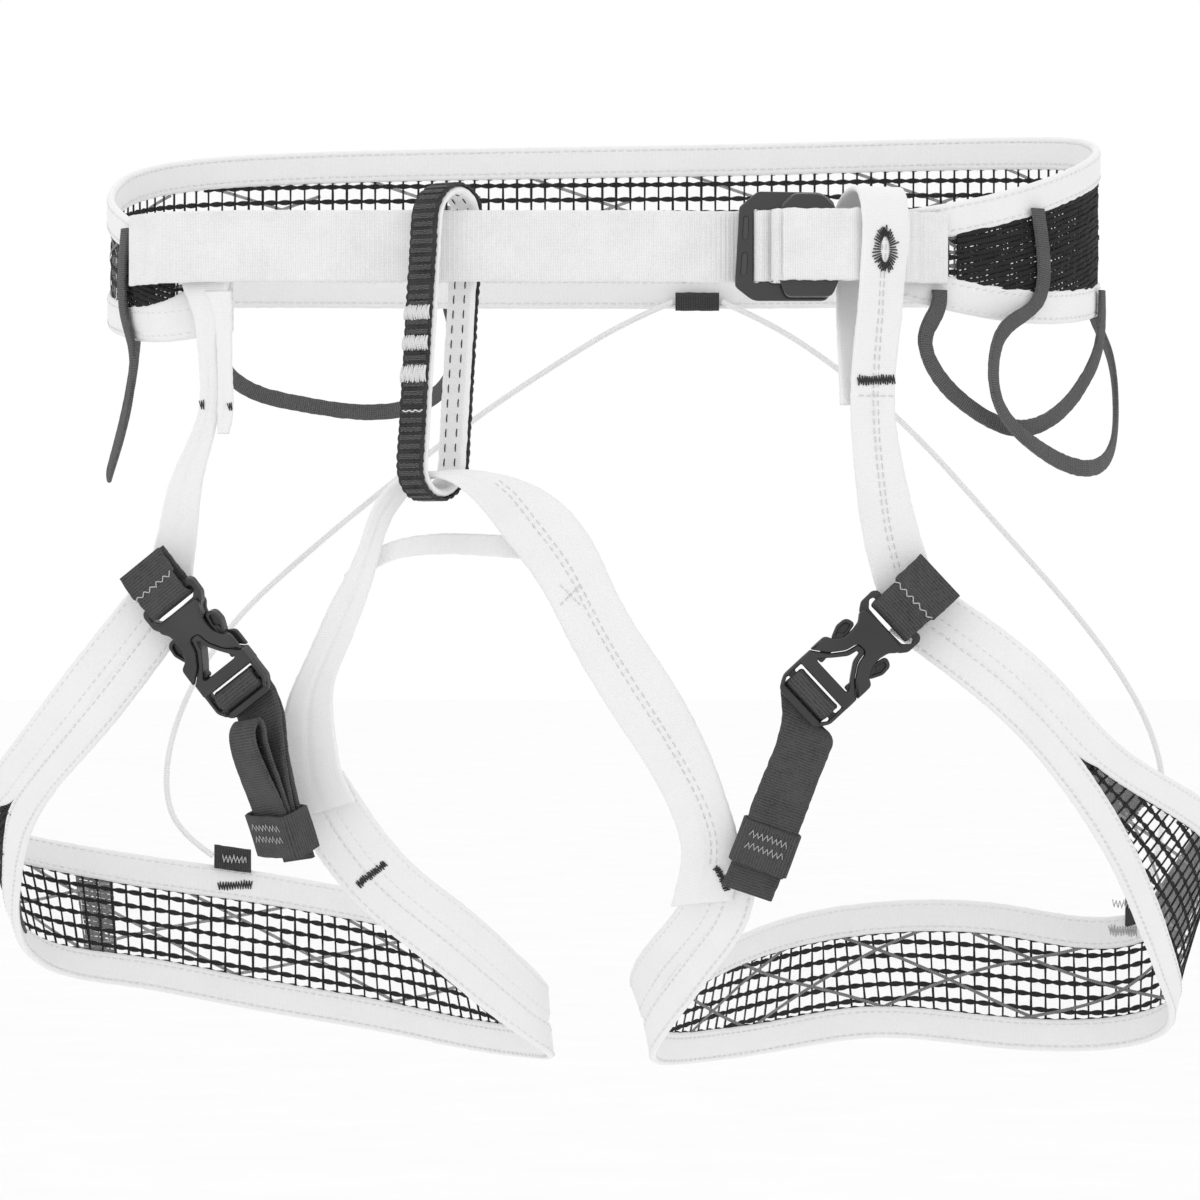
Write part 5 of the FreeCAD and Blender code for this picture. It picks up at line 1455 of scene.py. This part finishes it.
lines = view_lines(riser_band, 98.2, -10, ring_shapes((1.5, 4.4), (4.4, 7.6)), RISER_V)
lines += view_lines(riser_band, 95.8, -55.6, tack_shapes(13.2, 3.0, 3, 0.42), RISER_V)
hang("riser_right_tacks", lines, TACK_THREAD, "dark_thread")
lines = []
for shift in (0, 2.2):
    level = [[(x, 0), (x + 0.9, 0.1), (x + 1.8, 0)] for x in np.arange(-6.6, 5.6, 2.6)]
    lines += view_lines(riser_band, 96.2, -61 - shift, level, 1.12)
for u in (8.2, 9.9):
    lines += stitch_row(riser_band, riser_band.stops[9], riser_band.stops[-1] - 6, u, 1.12 * FACING_RISER,
                        3.2, 2.2)
hang("riser_right_seams", lines, SEAM_THREAD, "seam_thread")
lines = view_lines(left_tail_band, -129.2, -64.5, tack_shapes(1.6, 2.6, 8, 0.4), 1.0)
lines += view_lines(left_band, -139.2, -63.5, tack_shapes(1.6, 3.0, 8, 0.4), 1.1)
hang("riser_left_tacks", lines, 0.2, "dark_thread")
lines = view_lines(leg_bands["left"], -81.3, -229, tack_shapes(12.5, 2.6, 38, 0.42), 1.5)
lines += view_lines(cross_band, 43.2, -229.5, tack_shapes(9.5, 2.4, -62, 0.42), 1.2)
lines += view_lines(leg_bands["left"], -138.3, -240, tack_shapes(13, 3, 3, 0.5), 1.5, back=True)
on("leg_loops", threads("leg_tacks", lines, TACK_THREAD, "dark_thread", 5))
lines = view_lines(leg_bands["right"], 198, -256.5, tack_shapes(10.5, 3.4, -2, 0.5), 1.5, back=True)
for side, x, z in (("left", -138, -233), ("right", 199, -247.5)):
    zigzags = [[(a, b + 3.5) for a, b in shape] for shape in tack_shapes(9.5, 2.6, -4, 0.7)]
    lines += view_lines(leg_bands[side], x, z, zigzags, 4.05, back=True)
on("leg_loops", threads("leg_grey_tacks", lines, 0.2, "grey_thread", 5))
lines = []
for turn in (45, -45):
    lines += view_lines(cross_band, -10.6, -130.5, short_run((-5, -2.6, -0.8, 1.4, 3.4), turn), 1.15)
for u in (10.6, 12.6):
    lines += stitch_row(cross_band, cross_band.stops[12], cross_band.stops[-2], u, 1.1 * FACING_CROSS,
                        3.4, 2.2)
on("leg_loops", threads("crosspiece_seams", lines, SEAM_THREAD, "seam_thread", 5))

# ---------------------------------------------------------------- gear loops

UNDER = TOP - WEB - 2.0
# Each route: belt row and two heights at the first end, points between, belt row and heights at the last end.
GEAR_ROUTES = {
    "gear_loop_right_front": (
        (47, UNDER, UNDER - 4), [(114, -82, -40), (117, -83, -51), (128, -79.5, -63), (144, -71, -71),
                                 (161, -54, -67), (174, -36, -53), (180, -25, -40)], (40, -20, -27)),
    "gear_loop_right_side": (
        (44, 7, -26), [(141.5, -75, -38), (138, -81, -50), (140, -83.5, -64), (152, -76, -77),
                       (172, -50, -85), (184.5, -18, -79), (189, 6, -62), (187, 15, -40)],
        (36, -8, -23)),
    "gear_loop_left_rear": (
        (16, -11, -19), [(-146, 78, -31), (-144, 82, -42), (-135, 86, -51), (-115, 89, -57),
                         (-82, 91.5, -60), (-61, 92, -52), (-54, 91.5, -36)], (21, -11, -19)),
    "gear_loop_left_side": (
        (5, 0, -33), [(-166, -60, -42), (-166, -59, -54), (-169.5, -49, -69), (-175.5, -26, -82),
                      (-179.5, 2, -86), (-179.5, 28, -77), (-177, 44, -61), (-174.5, 50, -43)],
        (13, -4, -22)),
}
GEAR_WIDTH = 7.0
GEAR_THICK = 3.0


def belt_row(row):
    """The belt's top edge and its normal at a row of the CAD model, which has three rows to a route point."""
    low = row // 3
    stops = belt.stops
    s = stops[low] + (stops[min(low + 1, len(stops) - 1)] - stops[low]) * (row % 3) / 3
    origin, _, normal, _ = belt.row(np.array([s]))
    return origin[0], normal[0]


def make_gear_loop(label):
    first, between, last = GEAR_ROUTES[label]
    ends = []
    for row, *heights in (first, last):
        origin, normal = belt_row(row)
        seat = origin + normal * (BINDING_THICK / 2 + GAP + GEAR_THICK / 2)
        ends.append(([np.array([seat[0], seat[1], z]) for z in heights], normal))
    points = ends[0][0] + [np.array(p, float) for p in between] + ends[1][0][::-1]
    pairs = []
    for i, point in enumerate(points):
        ahead = points[min(i + 1, len(points) - 1)] - points[max(i - 1, 0)]
        share = i / (len(points) - 1)
        out = ends[0][1] * (1 - share) + ends[1][1] * share
        across = unit(np.cross(out, ahead)) * (GEAR_WIDTH / 2 - 0.5)
        pairs.append((point - across, point + across))
    band = Band(pairs, 0.35, wobble=0.0)
    made = strap(f"{label}_webbing", band, 1.9, "grey_webbing", ribs=(1.6, 0.32), ragged=0.2, columns=12,
                 selvedge=0.0, puff=0.2)
    on(f"{label}_body", made, stands_for=[label])


for label in GEAR_ROUTES:
    make_gear_loop(label)

# ---------------------------------------------------------------- elastic cords

CORDS = {
    "left": [
        (28, 82, -18.5), (10, 82.5, -26), (-15, 85, -41), (-47, 86.5, -62), (-84, 87, -91), (-114, 86, -116),
        (-137, 85, -137), (-153, 83.5, -159), (-163, 81, -183), (-165.5, 78.5, -204), (-160, 76, -220),
        (-146.7, 75.3, -229)],
    "right": [
        (46, 82, -18.5), (64, 82.5, -26), (90, 85, -43), (118, 86, -66), (152, 85, -104),
        (183, 82, -139), (202, 77, -166), (212, 71, -190), (213, 65.5, -212), (209.5, 62, -231),
        (205, 61.3, -241)],
}
CORD = 2.2
CORD_SIDES = 14


def cord_path(points):
    """Points along the smooth spline through the route."""
    data = bpy.data.curves.new("route", "CURVE")
    data.dimensions = "3D"
    line = data.splines.new("NURBS")
    line.points.add(len(points) - 1)
    for point, place in zip(line.points, points):
        point.co = (*[x * MM for x in place], 1)
    line.order_u = 3
    line.use_endpoint_u = True
    line.resolution_u = 12
    holder = bpy.data.objects.new("route", data)
    bpy.context.scene.collection.objects.link(holder)
    made = bpy.data.meshes.new_from_object(holder)
    path = np.array([v.co[:] for v in made.vertices]) / MM
    bpy.data.objects.remove(holder)
    return path


def make_cord(side):
    """Braided elastic from the waist tab to the leg loop's tab."""
    path = cord_path(CORDS[side])
    ahead = unit(np.gradient(path, axis=0))
    across = unit(np.cross(ahead, np.array([0.0, -1.0, 0.05])))
    up = np.cross(ahead, across)
    steps = distances(path)
    turns = np.linspace(0, 2 * np.pi, CORD_SIDES, endpoint=False)
    fine = np.linspace(0, steps[-1], int(steps[-1] / 0.7))

    def along(values):
        return np.stack([np.interp(fine, steps, values[:, k]) for k in range(3)], axis=-1)

    line, side_way, up_way = along(path), unit(along(across)), unit(along(up))
    radius = CORD / 2 * (1 + 0.035 * np.sin(fine * 2 * np.pi / 1.9))
    ring = (line[:, None] + side_way[:, None] * (np.cos(turns)[None, :, None] * radius[:, None, None])
            + up_way[:, None] * (np.sin(turns)[None, :, None] * radius[:, None, None]))
    around = np.repeat((turns * CORD / 2)[None], len(fine), 0)
    lay = np.stack([around, np.repeat(fine[:, None], CORD_SIDES, 1), np.zeros_like(around)], axis=-1)
    made = mesh_object(f"elastic_cord_{side}_tube", ring.reshape(-1, 3), tube_faces(len(fine), CORD_SIDES),
                       "elastic", lay.reshape(-1, 3))
    bend("root", "leg_loops", (0, 85, -30), (0, 80, -215), made, stands_for=[f"elastic_cord_{side}"])


for side in CORDS:
    make_cord(side)

tab_pairs = flat_pairs([(28.7, 82), (32, 82), (37, 82), (42, 82), (45.3, 82)], -15.0, 7.0)
tab = strap("waist_elastic_tab_tape", Band(tab_pairs, 0.5, wobble=0.0), 3.9, "dark_webbing", ragged=0.15)
on("root", tab, stands_for=["waist_elastic_tab"])

# ---------------------------------------------------------------- camera, light, floor

SHOT_Y = -2.0
camera_data = bpy.data.cameras.new("camera")
camera_data.sensor_width = 36
camera_data.lens = 164.2
camera_data.clip_end = 100
camera = bpy.data.objects.new("camera", camera_data)
bpy.context.scene.collection.objects.link(camera)
camera.location = (0, SHOT_Y, -0.132)
camera.rotation_euler = (math.radians(90), 0, 0)
bpy.context.scene.camera = camera


def area_light(name, place, target, size, power):
    data = bpy.data.lights.new(name, "AREA")
    data.shape = "DISK"
    data.size = size
    data.energy = power
    light = bpy.data.objects.new(name, data)
    bpy.context.scene.collection.objects.link(light)
    light.location = place
    light.rotation_euler = (Vector(target) - Vector(place)).to_track_quat("-Z", "Y").to_euler()


area_light("key", (-1.1, -1.6, 1.3), (0, 0, -0.15), 1.2, 5)
area_light("fill", (1.6, -1.5, 0.2), (0, 0, -0.15), 1.6, 2)
area_light("top", (0.1, 0.4, 1.7), (0, 0, -0.1), 1.4, 3)
area_light("back", (0.2, 1.8, 0.4), (0, 0, -0.15), 1.6, 2)

world = bpy.data.worlds.new("studio")
world.use_nodes = True
world.node_tree.nodes["Background"].inputs["Color"].default_value = (1, 1, 1, 1)
world.node_tree.nodes["Background"].inputs["Strength"].default_value = 1.0
bpy.context.scene.world = world
bpy.context.scene.view_settings.view_transform = "Standard"

FLOOR = 40.0
FLOOR_Z = -0.9
floor_data = bpy.data.meshes.new("floor")
floor_data.from_pydata([(-FLOOR, -FLOOR, FLOOR_Z), (FLOOR, -FLOOR, FLOOR_Z), (FLOOR, FLOOR, FLOOR_Z),
                        (-FLOOR, FLOOR, FLOOR_Z)], [], [(0, 1, 2, 3)])
paper = Nodes("pale_floor")
paper_colour = paper.ramp(paper.noise(6.0, 2.0), (0.3, grey(0.97)), (0.7, grey(0.99)))
floor_data.materials.append(paper.finish(paper_colour, roughness=0.9))
floor = bpy.data.objects.new("floor", floor_data)
bpy.context.scene.collection.objects.link(floor)
